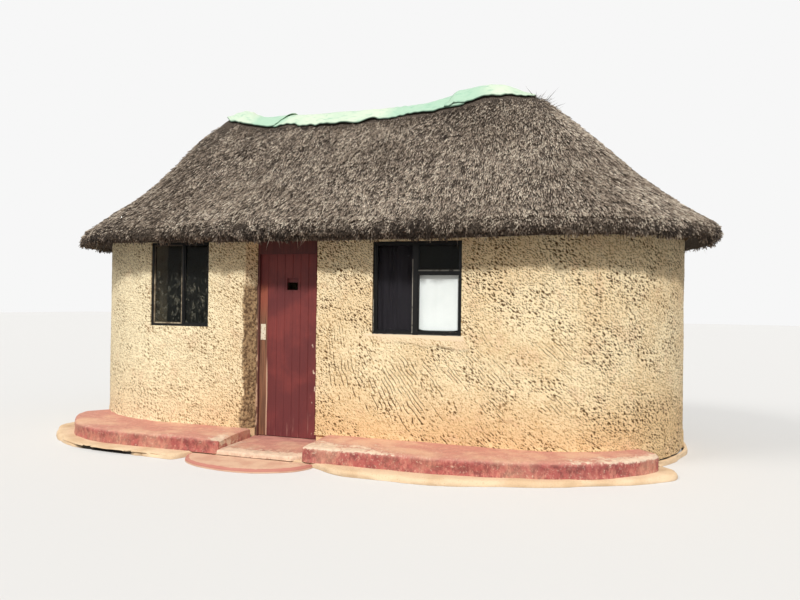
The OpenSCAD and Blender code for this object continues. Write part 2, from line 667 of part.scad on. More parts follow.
// The green sheet lies over the ridge in three lengths, each a shell over a net of places.
// A row of places crosses the ridge from the front edge to the back one.
sheet_side = [for (k = [0:crown_steps]) outer_side[k]];
row_n = 2 * crown_steps + 1;
function sheet_row(x) = [for (k = [-crown_steps:crown_steps])
    let (p = sheet_side[abs(k)], y = sign(k) * p[0]) [x, y, p[1] + lift(x, y)]];
function row_faces(a, b) = [for (k = [0:row_n - 2])
    each [[a[k], b[k], a[k + 1]], [b[k], b[k + 1], a[k + 1]]]];
module shell(places, faces, outline) {
    n = len(places);
    m = len(outline);
    polyhedron(
        points = concat([for (p = places) p + [0, 0, sheet_gap + sheet_t]], [for (p = places) p + [0, 0, sheet_gap]]),
        faces = concat([for (f = faces) [f[0], f[2], f[1]]], [for (f = faces) [f[0] + n, f[1] + n, f[2] + n]],
            [for (i = [0:m - 1]) let (a = outline[i], b = outline[(i + 1) % m])
                each [[a, b, b + n], [a, b + n, a + n]]]));
}
function numbers(a, b, step = 1) = [for (i = [a:step:b]) i];
module sheet_length(i0, i1) {
    last = i1 - i0;
    shell([for (i = [i0:i1]) each sheet_row(station_x(i))],
        [for (j = [0:last - 1]) each row_faces(numbers(j * row_n, (j + 1) * row_n - 1),
            numbers((j + 1) * row_n, (j + 2) * row_n - 1))],
        concat(numbers(0, last * row_n, row_n), numbers(last * row_n + 1, (last + 1) * row_n - 1),
            numbers((last - 1) * row_n + row_n - 1, row_n - 1, -row_n), numbers(row_n - 2, 1, -1)));
}
// The left length also lies around the ridge's end, with the middle place first and then its spokes
function spoke(i, k) = i * crown_steps + k;
module ridge_sheet_left() color("#a9dcc0") {
    spokes = [for (i = [0:end_steps], k = [1:crown_steps]) end_point(-1, 90 + 180 * i / end_steps, outer_side[k], 1)];
    rows = [for (i = [1:lap_left]) each sheet_row(station_x(i))];
    spoke_n = len(spokes);
    first_row = concat([for (k = [crown_steps:-1:1]) spoke(end_steps, k)], [0],
        [for (k = [1:crown_steps]) spoke(0, k)]);
    row_1 = numbers(spoke_n + 1, spoke_n + row_n);
    row_2 = numbers(spoke_n + row_n + 1, spoke_n + 2 * row_n);
    shell(concat([[-half_len, 0, outer_side[0][1] + lift(-half_len, 0)]], spokes, rows),
        concat([for (i = [0:end_steps - 1]) [0, spoke(i, 1), spoke(i + 1, 1)]],
            [for (i = [0:end_steps - 1], k = [1:crown_steps - 1])
                each [[spoke(i, k), spoke(i, k + 1), spoke(i + 1, k + 1)],
                    [spoke(i, k), spoke(i + 1, k + 1), spoke(i + 1, k)]]],
            row_faces(first_row, row_1), row_faces(row_1, row_2)),
        concat([for (i = [0:end_steps]) spoke(i, crown_steps)], [row_1[0]], row_2,
            [row_1[row_n - 1]]));
}
module ridge_sheet_middle() color("#a9dcc0") sheet_length(lap_left, lap_right);
module ridge_sheet_right() color("#a9dcc0") sheet_length(lap_right, ridge_steps);

footing();
floor_slab();
upper_step();
lower_step();
plinth_front_left();
plinth_front_right();
plinth_left_end();
plinth_right_end();
front_wall_left();
front_wall_right();
wall_over_door();
back_wall();
left_end_wall(1);  // left_end_wall_front
left_end_wall(2);  // left_end_wall_back
right_end_wall(1);  // right_end_wall_front
right_end_wall(2);  // right_end_wall_back
door_frame();
door_leaf();
door_ledges();
lock_plate();
rim_lock();
hinge_frame_plates();
hinge_leaf_plates();
left_window_frame();
left_window_sashes();
left_window_panes();
right_window_frame();
right_window_sashes();
right_window_panes();
curtain_wire();
dark_curtain();
white_curtain();
ridge_pole();
slope_poles();
end_poles();
slope_laths();
end_laths();
thatch_front();
thatch_back();
thatch_left_end();
thatch_right_end();
ridge_sheet_left();
ridge_sheet_middle();
ridge_sheet_right();
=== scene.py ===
import math
import bpy
import numpy as np
from mathutils import Matrix, Vector


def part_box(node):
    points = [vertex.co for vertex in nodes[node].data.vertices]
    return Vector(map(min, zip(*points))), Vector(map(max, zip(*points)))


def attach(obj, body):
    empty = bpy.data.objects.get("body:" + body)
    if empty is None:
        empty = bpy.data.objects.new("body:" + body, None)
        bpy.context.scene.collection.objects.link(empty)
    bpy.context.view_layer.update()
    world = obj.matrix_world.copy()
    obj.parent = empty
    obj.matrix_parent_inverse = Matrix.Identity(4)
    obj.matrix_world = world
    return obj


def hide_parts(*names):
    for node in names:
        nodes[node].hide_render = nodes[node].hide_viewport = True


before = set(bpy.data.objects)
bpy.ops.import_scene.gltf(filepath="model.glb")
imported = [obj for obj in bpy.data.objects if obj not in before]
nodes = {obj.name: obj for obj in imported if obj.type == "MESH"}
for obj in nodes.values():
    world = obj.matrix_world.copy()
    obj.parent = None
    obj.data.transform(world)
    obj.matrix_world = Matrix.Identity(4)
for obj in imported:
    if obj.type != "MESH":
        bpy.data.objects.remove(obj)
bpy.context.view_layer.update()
scene = bpy.context.scene
scene.view_settings.view_transform = "Standard"
bpy.ops.object.select_all(action="DESELECT")

# Sizes of the hut that several pieces share, in metres
hut = {
    "halfLen": 1.9625, "endR": 1.67, "doorMid": -0.488,
    "revealLeft": -0.895, "revealRight": -0.085, "splay": 0.065, "frameY": -1.53, "frameTop": 2.25,
    "leftWindow": (-2.187, -1.413, 1.29, 2.239), "rightWindow": (0.528, 1.458, 1.262, 2.211),
}

print("stage: camera")
# The camera fitted to the photo; focal and wide are in pixels, sensor in millimetres
photoView = {
    "place": (2.7775, -7.9296, 1.5797), "yaw": 0.3028, "pitch": -0.0052, "roll": 0.0135,
    "focal": 647, "wide": 800, "sensor": 36,
}


def addCamera():
    yaw, pitch, roll = photoView["yaw"], photoView["pitch"], photoView["roll"]
    ahead = Vector((-math.sin(yaw) * math.cos(pitch), math.cos(yaw) * math.cos(pitch), -math.sin(pitch)))
    side = Vector((math.cos(yaw), math.sin(yaw), 0))
    above = side.cross(ahead)
    right = math.cos(roll) * side + math.sin(roll) * above
    up = math.cos(roll) * above - math.sin(roll) * side
    turn = Matrix((right, up, -ahead)).transposed().to_4x4()
    turn.translation = Vector(photoView["place"])
    bpy.ops.object.camera_add()
    camera = bpy.context.object
    camera.name = "photoCamera"
    camera.matrix_world = turn
    camera.data.sensor_width = photoView["sensor"]
    camera.data.lens = photoView["sensor"] * photoView["focal"] / photoView["wide"]
    scene.camera = camera


addCamera()


hashing = {"x": 374761393, "y": 668265263, "z": 1442695041, "seed": 974634777, "mix": 1274126177,
           "mask": 0xFFFFFFFF, "top": 0xFFFF}


# Numbers from 0 to 1 that look random but are the same in each run
def hashed(x, y, z, seed):
    mixed = x * hashing["x"] + y * hashing["y"] + z * hashing["z"] + seed * hashing["seed"]
    mixed = mixed & hashing["mask"]
    mixed = ((mixed ^ (mixed >> 13)) * hashing["mix"]) & hashing["mask"]
    return ((mixed ^ (mixed >> 16)) & hashing["top"]) / hashing["top"]


# Smooth noise from -1 to 1 at many places; grain is the size of its lumps along x, y and z
def softNoise(places, grain, seed=0):
    scaled = np.asarray(places, float) / np.asarray(grain, float)
    cell = np.floor(scaled).astype(np.int64)
    part = scaled - cell
    part = part * part * (3 - 2 * part)
    total = np.zeros(len(scaled))
    for corner in range(8):
        shift = [corner & 1, corner >> 1 & 1, corner >> 2 & 1]
        share = np.ones(len(scaled))
        for axis in range(3):
            share = share * (part[:, axis] if shift[axis] else 1 - part[:, axis])
        total += share * hashed(cell[:, 0] + shift[0], cell[:, 1] + shift[1], cell[:, 2] + shift[2], seed)
    return total * 2 - 1


def layered(places, grain, seed=0, layers=3):
    total = np.zeros(len(places))
    for layer in range(layers):
        total += softNoise(places, np.asarray(grain, float) / 2 ** layer, seed + layer) / 2 ** layer
    return total / (2 - 2 ** (1 - layers))


def eased(value, low, high):
    part = np.clip((value - low) / (high - low), 0, 1)
    return part * part * (3 - 2 * part)


def bell(value):
    return np.exp(-value * value)


# Flat places to noise places
def onSheet(across, up):
    return np.stack([across, up, np.zeros_like(across)], axis=1)


# Distance to the nearest dab's middle in cells, which way it lies, and that dab's own number
def dabs(across, up, size, seed):
    a, b = across / size, up / size
    cellA, cellB = np.floor(a).astype(np.int64), np.floor(b).astype(np.int64)
    flat = np.zeros_like(cellA)
    nearest = np.full(len(a), 9.0)
    awayA, awayB, own = np.zeros(len(a)), np.zeros(len(a)), np.zeros(len(a))
    for i in (-1, 0, 1):
        for j in (-1, 0, 1):
            offA = a - (cellA + i + 0.1 + 0.8 * hashed(cellA + i, cellB + j, flat, seed))
            offB = b - (cellB + j + 0.1 + 0.8 * hashed(cellA + i, cellB + j, flat + 1, seed))
            away = np.hypot(offA, offB)
            closer = away < nearest
            own = np.where(closer, hashed(cellA + i, cellB + j, flat + 2, seed), own)
            awayA, awayB = np.where(closer, offA, awayA), np.where(closer, offB, awayB)
            nearest = np.where(closer, away, nearest)
    return nearest, awayA, awayB, own


# A grid whose columns and rows are then put in place; gives the object and each vertex's column and row
def newGrid(name, columns, rows):
    bpy.ops.object.select_all(action="DESELECT")
    bpy.ops.mesh.primitive_grid_add(x_subdivisions=columns, y_subdivisions=rows, size=1)
    piece = bpy.context.object
    piece.name = name
    piece.data.name = name
    places = getPlaces(piece)
    column = np.rint((places[:, 0] + 0.5) * columns).astype(int)
    row = np.rint((places[:, 1] + 0.5) * rows).astype(int)
    return piece, column, row


def getPlaces(piece):
    flat = np.empty(len(piece.data.vertices) * 3)
    piece.data.vertices.foreach_get("co", flat)
    return flat.reshape(-1, 3)


def setPlaces(piece, places):
    piece.data.vertices.foreach_set("co", np.asarray(places, float).reshape(-1))
    piece.data.update()


def putAt(piece, x, y, z):
    setPlaces(piece, np.stack([x, y, z], axis=1))


# Values at each vertex, by name, that a material reads
def setAttributes(piece, **named):
    for name, values in named.items():
        layer = piece.data.attributes.new(name, "FLOAT", "POINT")
        layer.data.foreach_set("value", np.asarray(values, float))


# The flat map of a piece, in metres
def setMap(piece, across, down):
    corners = np.empty(len(piece.data.loops), int)
    piece.data.loops.foreach_get("vertex_index", corners)
    layer = piece.data.uv_layers[0] if piece.data.uv_layers else piece.data.uv_layers.new(name="UVMap")
    layer.data.foreach_set("uv", np.stack([across[corners], down[corners]], axis=1).reshape(-1))


def selectOnly(piece):
    bpy.ops.object.select_all(action="DESELECT")
    piece.select_set(True)
    bpy.context.view_layer.objects.active = piece


def deleteFaces(piece, picked):
    selectOnly(piece)
    bpy.ops.object.mode_set(mode="EDIT")
    bpy.ops.mesh.select_mode(type="FACE")
    bpy.ops.mesh.select_all(action="DESELECT")
    bpy.ops.object.mode_set(mode="OBJECT")
    piece.data.polygons.foreach_set("select", np.asarray(picked, bool))
    bpy.ops.object.mode_set(mode="EDIT")
    bpy.ops.mesh.delete(type="FACE")
    bpy.ops.object.mode_set(mode="OBJECT")


def faceMiddles(piece):
    flat = np.empty(len(piece.data.polygons) * 3)
    piece.data.polygons.foreach_get("center", flat)
    return flat.reshape(-1, 3)


def mergeClose(piece, distance=0.00002):
    selectOnly(piece)
    bpy.ops.object.mode_set(mode="EDIT")
    bpy.ops.mesh.select_all(action="SELECT")
    bpy.ops.mesh.remove_doubles(threshold=distance)
    bpy.ops.object.mode_set(mode="OBJECT")


# Goes into edit mode with the edges selected that have one face only
def pickOpenEdges(piece):
    selectOnly(piece)
    bpy.ops.object.mode_set(mode="EDIT")
    bpy.ops.mesh.select_mode(type="EDGE")
    bpy.ops.mesh.select_all(action="DESELECT")
    bpy.ops.mesh.select_non_manifold(extend=False, use_wire=False, use_boundary=True,
                                     use_multi_face=False, use_non_contiguous=False, use_verts=False)


# Joins rows that meet in a point, closes every open edge loop with one face, and smooths
def closeUp(piece, angle):
    mergeClose(piece)
    pickOpenEdges(piece)
    bpy.ops.mesh.edge_face_add()
    bpy.ops.mesh.select_all(action="SELECT")
    bpy.ops.mesh.normals_make_consistent(inside=False)
    bpy.ops.object.mode_set(mode="OBJECT")
    smoothed(piece, angle)


def applied(piece, kind, **settings):
    selectOnly(piece)
    modifier = piece.modifiers.new(kind.title(), kind)
    for key, value in settings.items():
        setattr(modifier, key, value)
    bpy.ops.object.modifier_apply(modifier=modifier.name)


def smoothed(piece, angle=None):
    selectOnly(piece)
    if angle is None:
        bpy.ops.object.shade_smooth()
    else:
        bpy.ops.object.shade_smooth_by_angle(angle=math.radians(angle))


# Many loose shapes in one mesh: places is (shapes, corners, 3) and the pattern lists a shape's triangles
def joinedShapes(name, places, pattern):
    count, corners = places.shape[:2]
    pattern = np.asarray(pattern)
    faces = (np.arange(count)[:, None, None] * corners + pattern[None]).reshape(-1, 3)
    mesh = bpy.data.meshes.new(name)
    mesh.vertices.add(count * corners)
    mesh.vertices.foreach_set("co", places.reshape(-1))
    mesh.loops.add(faces.size)
    mesh.loops.foreach_set("vertex_index", faces.reshape(-1))
    mesh.polygons.add(len(faces))
    mesh.polygons.foreach_set("loop_start", np.arange(len(faces)) * 3)
    mesh.polygons.foreach_set("loop_total", np.full(len(faces), 3))
    mesh.update(calc_edges=True)
    mesh.validate()
    piece = bpy.data.objects.new(name, mesh)
    scene.collection.objects.link(piece)
    return piece


def finishPiece(piece, look, instead=(), body="hut"):
    piece.data.materials.clear()
    piece.data.materials.append(finish[look])
    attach(piece, body)
    if instead:
        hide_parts(*instead)
    print("  ", piece.name, len(piece.data.polygons), "faces")


# A colour as painted, from its red, green and blue out of 255
def tint(red, green, blue):
    def line(value):
        part = value / 255
        return part / 12.92 if part <= 0.04045 else ((part + 0.055) / 1.055) ** 2.4
    return (line(red), line(green), line(blue), 1.0)


# Wraps a shader socket, so that sums on it add Math nodes
class Wire:
    def __init__(self, tree, socket):
        self.tree = tree
        self.socket = socket

    def node(self, kind, inputs=None, out=0, stops=None, **settings):
        made = self.tree.nodes.new("ShaderNode" + kind)
        for key, value in settings.items():
            setattr(made, key, value)
        if stops:
            marks = made.color_ramp.elements
            while len(marks) > 1:
                marks.remove(marks[-1])
            marks[0].position, marks[0].color = stops[0]
            for place, colour in stops[1:]:
                marks.new(place).color = colour
        for key, value in (inputs or {}).items():
            if isinstance(value, Wire):
                self.tree.links.new(value.socket, made.inputs[key])
            else:
                made.inputs[key].default_value = value
        return Wire(self.tree, made.outputs[out])

    def sum(self, operation, first, second):
        return self.node("Math", {0: first, 1: second}, operation=operation)

    def __add__(self, other):
        return self.sum("ADD", self, other)

    def __sub__(self, other):
        return self.sum("SUBTRACT", self, other)

    def __rsub__(self, other):
        return self.sum("SUBTRACT", other, self)

    def __mul__(self, other):
        return self.sum("MULTIPLY", self, other)

    def __truediv__(self, other):
        return self.sum("DIVIDE", self, other)

    __radd__ = __add__
    __rmul__ = __mul__


# A new material with its shader, and the wire of the places that its patterns follow
def startMaterial(name, roughness=0.9, metallic=0.0, uv=False, **sockets):
    material = bpy.data.materials.new(name)
    material.use_nodes = True
    tree = material.node_tree
    shader = tree.nodes["Principled BSDF"]
    shader.inputs["Roughness"].default_value = roughness
    shader.inputs["Metallic"].default_value = metallic
    for key, value in sockets.items():
        shader.inputs[key.replace("_", " ")].default_value = value
    places = tree.nodes.new("ShaderNodeTexCoord")
    return material, shader, Wire(tree, places.outputs["UV" if uv else "Object"])


def plug(shader, name, wire):
    wire.tree.links.new(wire.socket, shader.inputs[name])


def noiseOf(places, scale, detail=4.0, stretch=None, roughness=0.55, distortion=0.0):
    if stretch:
        places = places.node("Mapping", {"Vector": places, "Scale": stretch})
    return places.node("TexNoise", {"Vector": places, "Scale": scale, "Detail": detail,
                                    "Roughness": roughness, "Distortion": distortion})


def step(wire, low, high):
    return wire.node("MapRange", {0: wire, 1: low, 2: high, 3: 0.0, 4: 1.0},
                     interpolation_type="SMOOTHSTEP")


def atMostOne(wire):
    return wire.node("Math", {0: wire, 1: 1.0}, operation="MINIMUM")


def blended(share, first, second):
    wire = share if isinstance(share, Wire) else first
    return wire.node("Mix", {0: share, 6: first, 7: second}, out=2, data_type="RGBA")


def axisOf(places, name):
    return places.node("SeparateXYZ", {"Vector": places}, out=name)


def mapOf(places):
    return places.node("TexCoord", {}, out="UV")


def attributeOf(places, name):
    return places.node("Attribute", {}, out="Fac", attribute_name=name)


def darker(colour, share):
    return tuple(part * share for part in colour[:3]) + (1.0,)


def bumped(shader, height, strength, distance):
    bump = height.node("Bump", {"Height": height, "Strength": strength, "Distance": distance})
    plug(shader, "Normal", bump)


print("stage: materials")


def strawMaterial():
    material, shader, places = startMaterial("weatheredStraw", 0.8)
    tone = attributeOf(places, "tone")
    along = attributeOf(places, "along")
    colour = tone.node("ValToRGB", {"Fac": tone}, stops=[
        (0.0, tint(58, 46, 36)), (0.3, tint(146, 130, 114)), (0.65, tint(196, 178, 158)),
        (1.0, tint(240, 226, 204))])
    patch = step(noiseOf(places, 1.3, 3.0), 0.42, 0.62)
    colour = blended(patch * 0.3, colour, tint(146, 128, 108))
    # Painted shade: each straw darkens towards its root, where it goes in among the other straws
    colour = blended(0.75 - along * 0.75, colour, tint(40, 33, 27))
    plug(shader, "Base Color", colour)
    return material


def thatchMaterial():
    material, shader, places = startMaterial("packedThatch", 0.95, uv=True)
    streak = noiseOf(places, 46.0, 6.0, (2.4, 1.0, 1.0), roughness=0.72)
    # Painted shade: the packed thatch under the straws runs to near black, for the shade in the gaps between
    # straws
    colour = streak.node("ValToRGB", {"Fac": streak}, stops=[
        (0.36, tint(26, 20, 14)), (0.5, tint(68, 57, 47)), (0.62, tint(122, 107, 92)),
        (0.74, tint(168, 150, 130))])
    plug(shader, "Base Color", colour)
    bumped(shader, streak, 0.9, 0.015)
    return material


# Painted shadows: short dark marks at the lower left of dabs of plaster, where light from the upper right
# leaves shade; on the flat map, from 0 to 1; long is half a mark's length and keep the share of the dabs that
# have one
def dabShadowMarks(flat, scale, long, keep):
    cells = flat.node("TexVoronoi", {"Vector": flat, "Scale": scale, "Randomness": 0.95},
                      voronoi_dimensions="2D", feature="F1")
    outputs = cells.socket.node.outputs
    middle = Wire(flat.tree, outputs["Position"])
    away = flat.node("VectorMath", {0: flat, 1: middle}, operation="SUBTRACT")
    slanted = (0.62 * scale, 0.78 * scale)
    down = away.node("VectorMath", {0: away, 1: (-slanted[0], -slanted[1], 0)},
                     operation="DOT_PRODUCT", out="Value")
    across = away.node("VectorMath", {0: away, 1: (slanted[1], -slanted[0], 0)},
                       operation="DOT_PRODUCT", out="Value")
    across = across.node("Math", {0: across}, operation="ABSOLUTE")
    chosen = axisOf(Wire(flat.tree, outputs["Color"]), "X")
    return (step(down, 0.12, 0.2) * (1 - step(down, 0.38, 0.5)) * (1 - step(across, long * 0.6, long))
            * step(chosen, 1 - keep - 0.1, 1 - keep + 0.1))


def plasterMaterial(name, relief):
    material, shader, places = startMaterial(name, 0.92)
    height = axisOf(places, "Z")
    stain = noiseOf(places, 2.0, 5.0)
    colour = blended(step(stain, 0.38, 0.66), tint(251, 231, 189), tint(242, 216, 171))
    low = 1 - step(height + noiseOf(places, 1.1, 3.0) * 0.5, 0.5, 1.15)
    onLeft = 1 - step(axisOf(places, "X"), -2.4, -0.2)
    # Painted light: towards the left end, which turns away from the sun lamp, the wall is made paler
    colour = blended(onLeft * 0.8, colour, tint(255, 240, 200))
    colour = blended(low * (0.7 - onLeft * 0.5), colour, tint(226, 188, 136))
    colour = blended(step(noiseOf(places, 5.0, 5.0), 0.56, 0.68) * 0.3, colour, tint(226, 186, 150))
    grain = noiseOf(places, 75.0, 6.0, roughness=0.7)
    colour = blended((1 - step(grain, 0.34, 0.5)) * 0.7, colour, tint(184, 146, 92))
    relieved = grain
    if relief:
        drawn = attributeOf(places, "drawn")
        part = attributeOf(places, "phase")
        part = part.node("Math", {0: part}, operation="FRACT")
        seen = attributeOf(places, "seen")
        # Painted shade: dark lines along the finger strokes' grooves
        stroke = step(part, 0.68, 0.80) * (1 - step(part, 0.86, 0.95))
        stroke = stroke * (seen * 0.4 + step(seen, 0.7, 0.95) * 0.6)
        flat = mapOf(places)
        shift = noiseOf(flat, 11.0, 2.0)
        shift = shift.node("VectorMath", {0: shift, "Scale": 0.03}, operation="SCALE")
        flat = flat.node("VectorMath", {0: flat, 1: shift}, operation="ADD")
        many = step(noiseOf(flat, 3.0, 3.0), 0.42, 0.6)
        # Painted shadows of the dabs, at three sizes
        paintedShadowMarks = dabShadowMarks(flat, 18.0, 0.34, 0.62) * (many * 0.8 + 0.2)
        paintedShadowMarks = paintedShadowMarks + dabShadowMarks(flat, 33.0, 0.46, 0.62) * (many * 0.5 + 0.5)
        paintedShadowMarks = paintedShadowMarks + dabShadowMarks(flat, 50.0, 0.55, 0.7) * 0.7
        paintedShadowMarks = atMostOne(paintedShadowMarks)
        hollow = atMostOne((paintedShadowMarks * (1 - drawn * 0.3) + stroke * drawn) * 1.25)
        smooth = attributeOf(places, "smooth")
        bare = attributeOf(places, "bare")
        hollow = hollow * (1 - smooth)
        colour = blended(smooth * 0.8, colour, tint(244, 218, 184))
        strong = step(axisOf(places, "X"), -1.6, 0.4) * 0.35 + 0.65
        # Painted shade: the dab shadows and stroke grooves darken the plaster in two steps, more so towards
        # the right
        colour = blended(hollow * strong * 0.9, colour, tint(186, 140, 70))
        colour = blended(step(hollow, 0.45, 1.0) * strong * 0.9, colour, tint(60, 34, 2))
        colour = blended(attributeOf(places, "crack") * 0.8, colour, tint(84, 62, 38))
        mudTone = noiseOf(places, 30.0, 6.0, roughness=0.65)
        mud = blended(step(mudTone, 0.4, 0.6), tint(104, 80, 54), tint(188, 158, 116))
        colour = blended(bare, colour, mud)
        relieved = grain - hollow * 0.9
    plug(shader, "Base Color", colour)
    bumped(shader, relieved, 0.8, 0.006)
    return material


# Red-oxide paint that is worn to pale cement where the wear attribute is high
def plinthMaterial(name, face, top, worn):
    material, shader, places = startMaterial(name, 0.82)
    upper = attributeOf(places, "top")
    wear = attributeOf(places, "wear")
    mottle = noiseOf(places, 15.0, 6.0, roughness=0.7)
    faceColour = blended(step(mottle, 0.4, 0.58), darker(face, 0.54), face)
    streak = step(noiseOf(places, 26.0, 5.0, (1.0, 1.0, 0.3), roughness=0.7), 0.48, 0.62)
    faceColour = blended(streak * 0.55, faceColour, tint(206, 136, 116))
    topColour = blended(step(mottle, 0.38, 0.62), darker(top, 0.85), top)
    colour = blended(upper, faceColour, topColour)
    blotch = step(noiseOf(places, 7.0, 6.0, roughness=0.75), 0.5, 0.6)
    colour = blended(blotch * (1 - upper) * 0.6, colour, tint(150, 70, 68))
    dust = step(noiseOf(places, 3.0, 5.0), 0.42, 0.66) * (upper * 0.3 + 0.25)
    colour = blended(dust, colour, tint(226, 188, 152))
    scuff = step(noiseOf(places, 36.0, 6.0, roughness=0.8, distortion=0.8) + wear * 0.1, 0.55, 0.68)
    colour = blended(scuff * 0.65, colour, worn)
    chips = (noiseOf(places, 13.0, 6.0, roughness=0.78) - 0.5) * 2.6
    rubbed = step(chips + wear, 0.5, 0.62)
    bare = blended(step(mottle, 0.4, 0.6), darker(worn, 0.8), worn)
    colour = blended(rubbed * 0.92, colour, bare)
    plug(shader, "Base Color", colour)
    bumped(shader, noiseOf(places, 40.0, 6.0, roughness=0.6) - rubbed * 0.3, 0.6, 0.007)
    return material


# Sandy step with a dark red rim
def lowStepMaterial():
    material, shader, places = startMaterial("sandyStep", 0.9)
    rim = attributeOf(places, "rim")
    mottle = noiseOf(places, 6.0, 6.0)
    colour = blended(step(mottle, 0.36, 0.66), tint(220, 182, 152), tint(206, 160, 134))
    red = step(rim + noiseOf(places, 16.0, 5.0) * 0.7, 0.95, 1.2) * step(axisOf(places, "Z"), 0.008, 0.018)
    colour = blended(red * 0.85, colour, tint(184, 112, 100))
    plug(shader, "Base Color", colour)
    bumped(shader, noiseOf(places, 50.0, 6.0), 0.5, 0.004)
    return material


# Cement whose hollow under the edge is painted dark, as the shade inside it, where the hollow attribute is
# high
def cementMaterial(name, pale, dark, speckled):
    material, shader, places = startMaterial(name, 0.95)
    mottle = noiseOf(places, 4.0, 6.0)
    speck = noiseOf(places, 80.0, 5.0)
    colour = blended(step(mottle, 0.36, 0.66), pale, dark)
    colour = blended(step(speck, 0.55, 0.72) * 0.5, colour, speckled)
    colour = blended(step(attributeOf(places, "hollow"), 0.3, 0.6), colour, tint(28, 20, 13))
    plug(shader, "Base Color", colour)
    bumped(shader, noiseOf(places, 55.0, 6.0), 0.6, 0.005)
    return material


# Cement floor; outside the door it has the steps' paint
def floorMaterial():
    material, shader, places = startMaterial("floorScreed", 0.9)
    outside = 1 - step(axisOf(places, "Y"), -1.45, -1.42)
    mottle = noiseOf(places, 6.0, 6.0)
    colour = blended(step(mottle, 0.36, 0.66), tint(160, 136, 114), tint(134, 108, 90))
    painted = blended(step(mottle, 0.36, 0.66), tint(196, 138, 122), tint(170, 112, 100))
    plug(shader, "Base Color", blended(outside, colour, painted))
    bumped(shader, noiseOf(places, 55.0, 6.0), 0.5, 0.003)
    return material


def woodMaterial(name, pale, dark, stretch):
    material, shader, places = startMaterial(name, 0.85)
    grain = noiseOf(places, 2.2, 6.0, stretch)
    colour = blended(step(grain, 0.32, 0.7), dark, pale)
    plug(shader, "Base Color", colour)
    bumped(shader, grain, 0.5, 0.003)
    return material


def leafMaterial():
    material, shader, places = startMaterial("wornMaroonBoards", 0.6)
    across = axisOf(places, "X")
    up = axisOf(places, "Z")
    grain = noiseOf(places, 2.6, 6.0, (26.0, 26.0, 1.2))
    fade = noiseOf(places, 2.4, 5.0)
    paint = blended(step(fade, 0.38, 0.64), tint(98, 36, 35), tint(124, 50, 45))
    paint = blended(step(grain, 0.35, 0.75) * 0.4, paint, tint(86, 32, 32))
    paint = blended((1 - step(up, 0.1, 0.9)) * 0.35, paint, tint(100, 44, 48))
    bareWood = blended(step(grain, 0.3, 0.7), tint(98, 66, 48), tint(146, 98, 70))
    bareWood = blended(step(up, 1.3, 1.62) * 0.8, bareWood, tint(156, 78, 58))
    wobble = noiseOf(places, 7.0, 4.0, (1.0, 1.0, 0.5)) * 0.016
    shaken = across + wobble
    strip = (1 - step(shaken, -0.768, -0.762)) * (1 - step(up, 1.72, 1.8))
    paint = blended(strip, paint, bareWood)
    line = step(shaken, -0.772, -0.765) * (1 - step(shaken, -0.762, -0.753))
    paint = blended(line * (1 - step(up, 0.8, 1.0)), paint, tint(206, 168, 140))
    scuff = step(noiseOf(places, 20.0, 6.0, (1.0, 1.0, 0.12)), 0.6, 0.7) * (1 - step(up, 0.15, 0.45))
    paint = blended(scuff * 0.4, paint, tint(170, 120, 108))
    chips = step(noiseOf(places, 26.0, 6.0, (1.0, 1.0, 0.4)), 0.6, 0.64)
    chips = chips * step(across, -0.25, -0.2) * (1 - step(across, -0.19, -0.17)) * (1 - step(up, 1.15, 1.35))
    paint = blended(chips, paint, tint(226, 200, 176))
    plug(shader, "Base Color", paint)
    bumped(shader, grain, 0.35, 0.002)
    return material


def frameMaterial():
    material, shader, places = startMaterial("wornMaroonFrame", 0.65)
    across = axisOf(places, "X")
    up = axisOf(places, "Z")
    grain = noiseOf(places, 2.6, 6.0, (26.0, 26.0, 1.2))
    paint = blended(step(grain, 0.35, 0.7), tint(76, 34, 32), tint(98, 46, 42))
    worn = (1 - step(across, -0.88, -0.86)) * (1 - step(up, 1.55, 1.8))
    wood = blended(step(grain, 0.35, 0.65), tint(70, 50, 38), tint(128, 96, 70))
    paint = blended(worn * 0.85, paint, wood)
    chips = step(noiseOf(places, 22.0, 6.0, (1.0, 1.0, 0.3)), 0.56, 0.62)
    paint = blended(chips * worn, paint, tint(196, 162, 132))
    plug(shader, "Base Color", paint)
    bumped(shader, grain, 0.4, 0.002)
    return material


# Where a place lies between two values, with soft ends
def within(wire, low, high, soft=0.001):
    return step(wire, low - soft, low + soft) * (1 - step(wire, high - soft, high + soft))


# Black steel paint, pale along lines of wear and one painted highlight (each one's x and z ranges);
# beige adds an older coat at the left
def steelPaintMaterial(name, beige, lines=()):
    material, shader, places = startMaterial(name, 0.5, Specular_IOR_Level=0.3)
    across, up = axisOf(places, "X"), axisOf(places, "Z")
    chips = step(noiseOf(places, 38.0, 6.0, roughness=0.7), 0.63, 0.67)
    fine = noiseOf(places, 120.0, 3.0)
    colour = blended(fine, tint(6, 6, 5), tint(16, 15, 13))
    if beige:
        pale = (1 - step(across, -1.775, -1.77)) * 0.9
        streak = noiseOf(places, 14.0, 6.0, roughness=0.7)
        painted = blended(step(streak, 0.4, 0.6), tint(116, 100, 80), tint(182, 166, 138))
        # Painted shade: the beige coat darkens towards the top, where the eave's shade falls
        painted = blended(step(up, 1.75, 2.0) * 0.8, painted, tint(48, 36, 26))
        colour = blended(pale, colour, painted)
    broken = step(noiseOf(places, 22.0, 6.0, roughness=0.7), 0.36, 0.48)
    for left, right, low, high in lines:
        worn = within(across, left, right) * within(up, low, high) * broken * 0.8
        colour = blended(worn, colour, tint(172, 166, 152))
    colour = blended(chips * 0.6, colour, tint(120, 100, 80))
    plug(shader, "Base Color", colour)
    plug(shader, "Roughness", chips * 0.3 + 0.45)
    bumped(shader, chips, 0.4, 0.001)
    return material


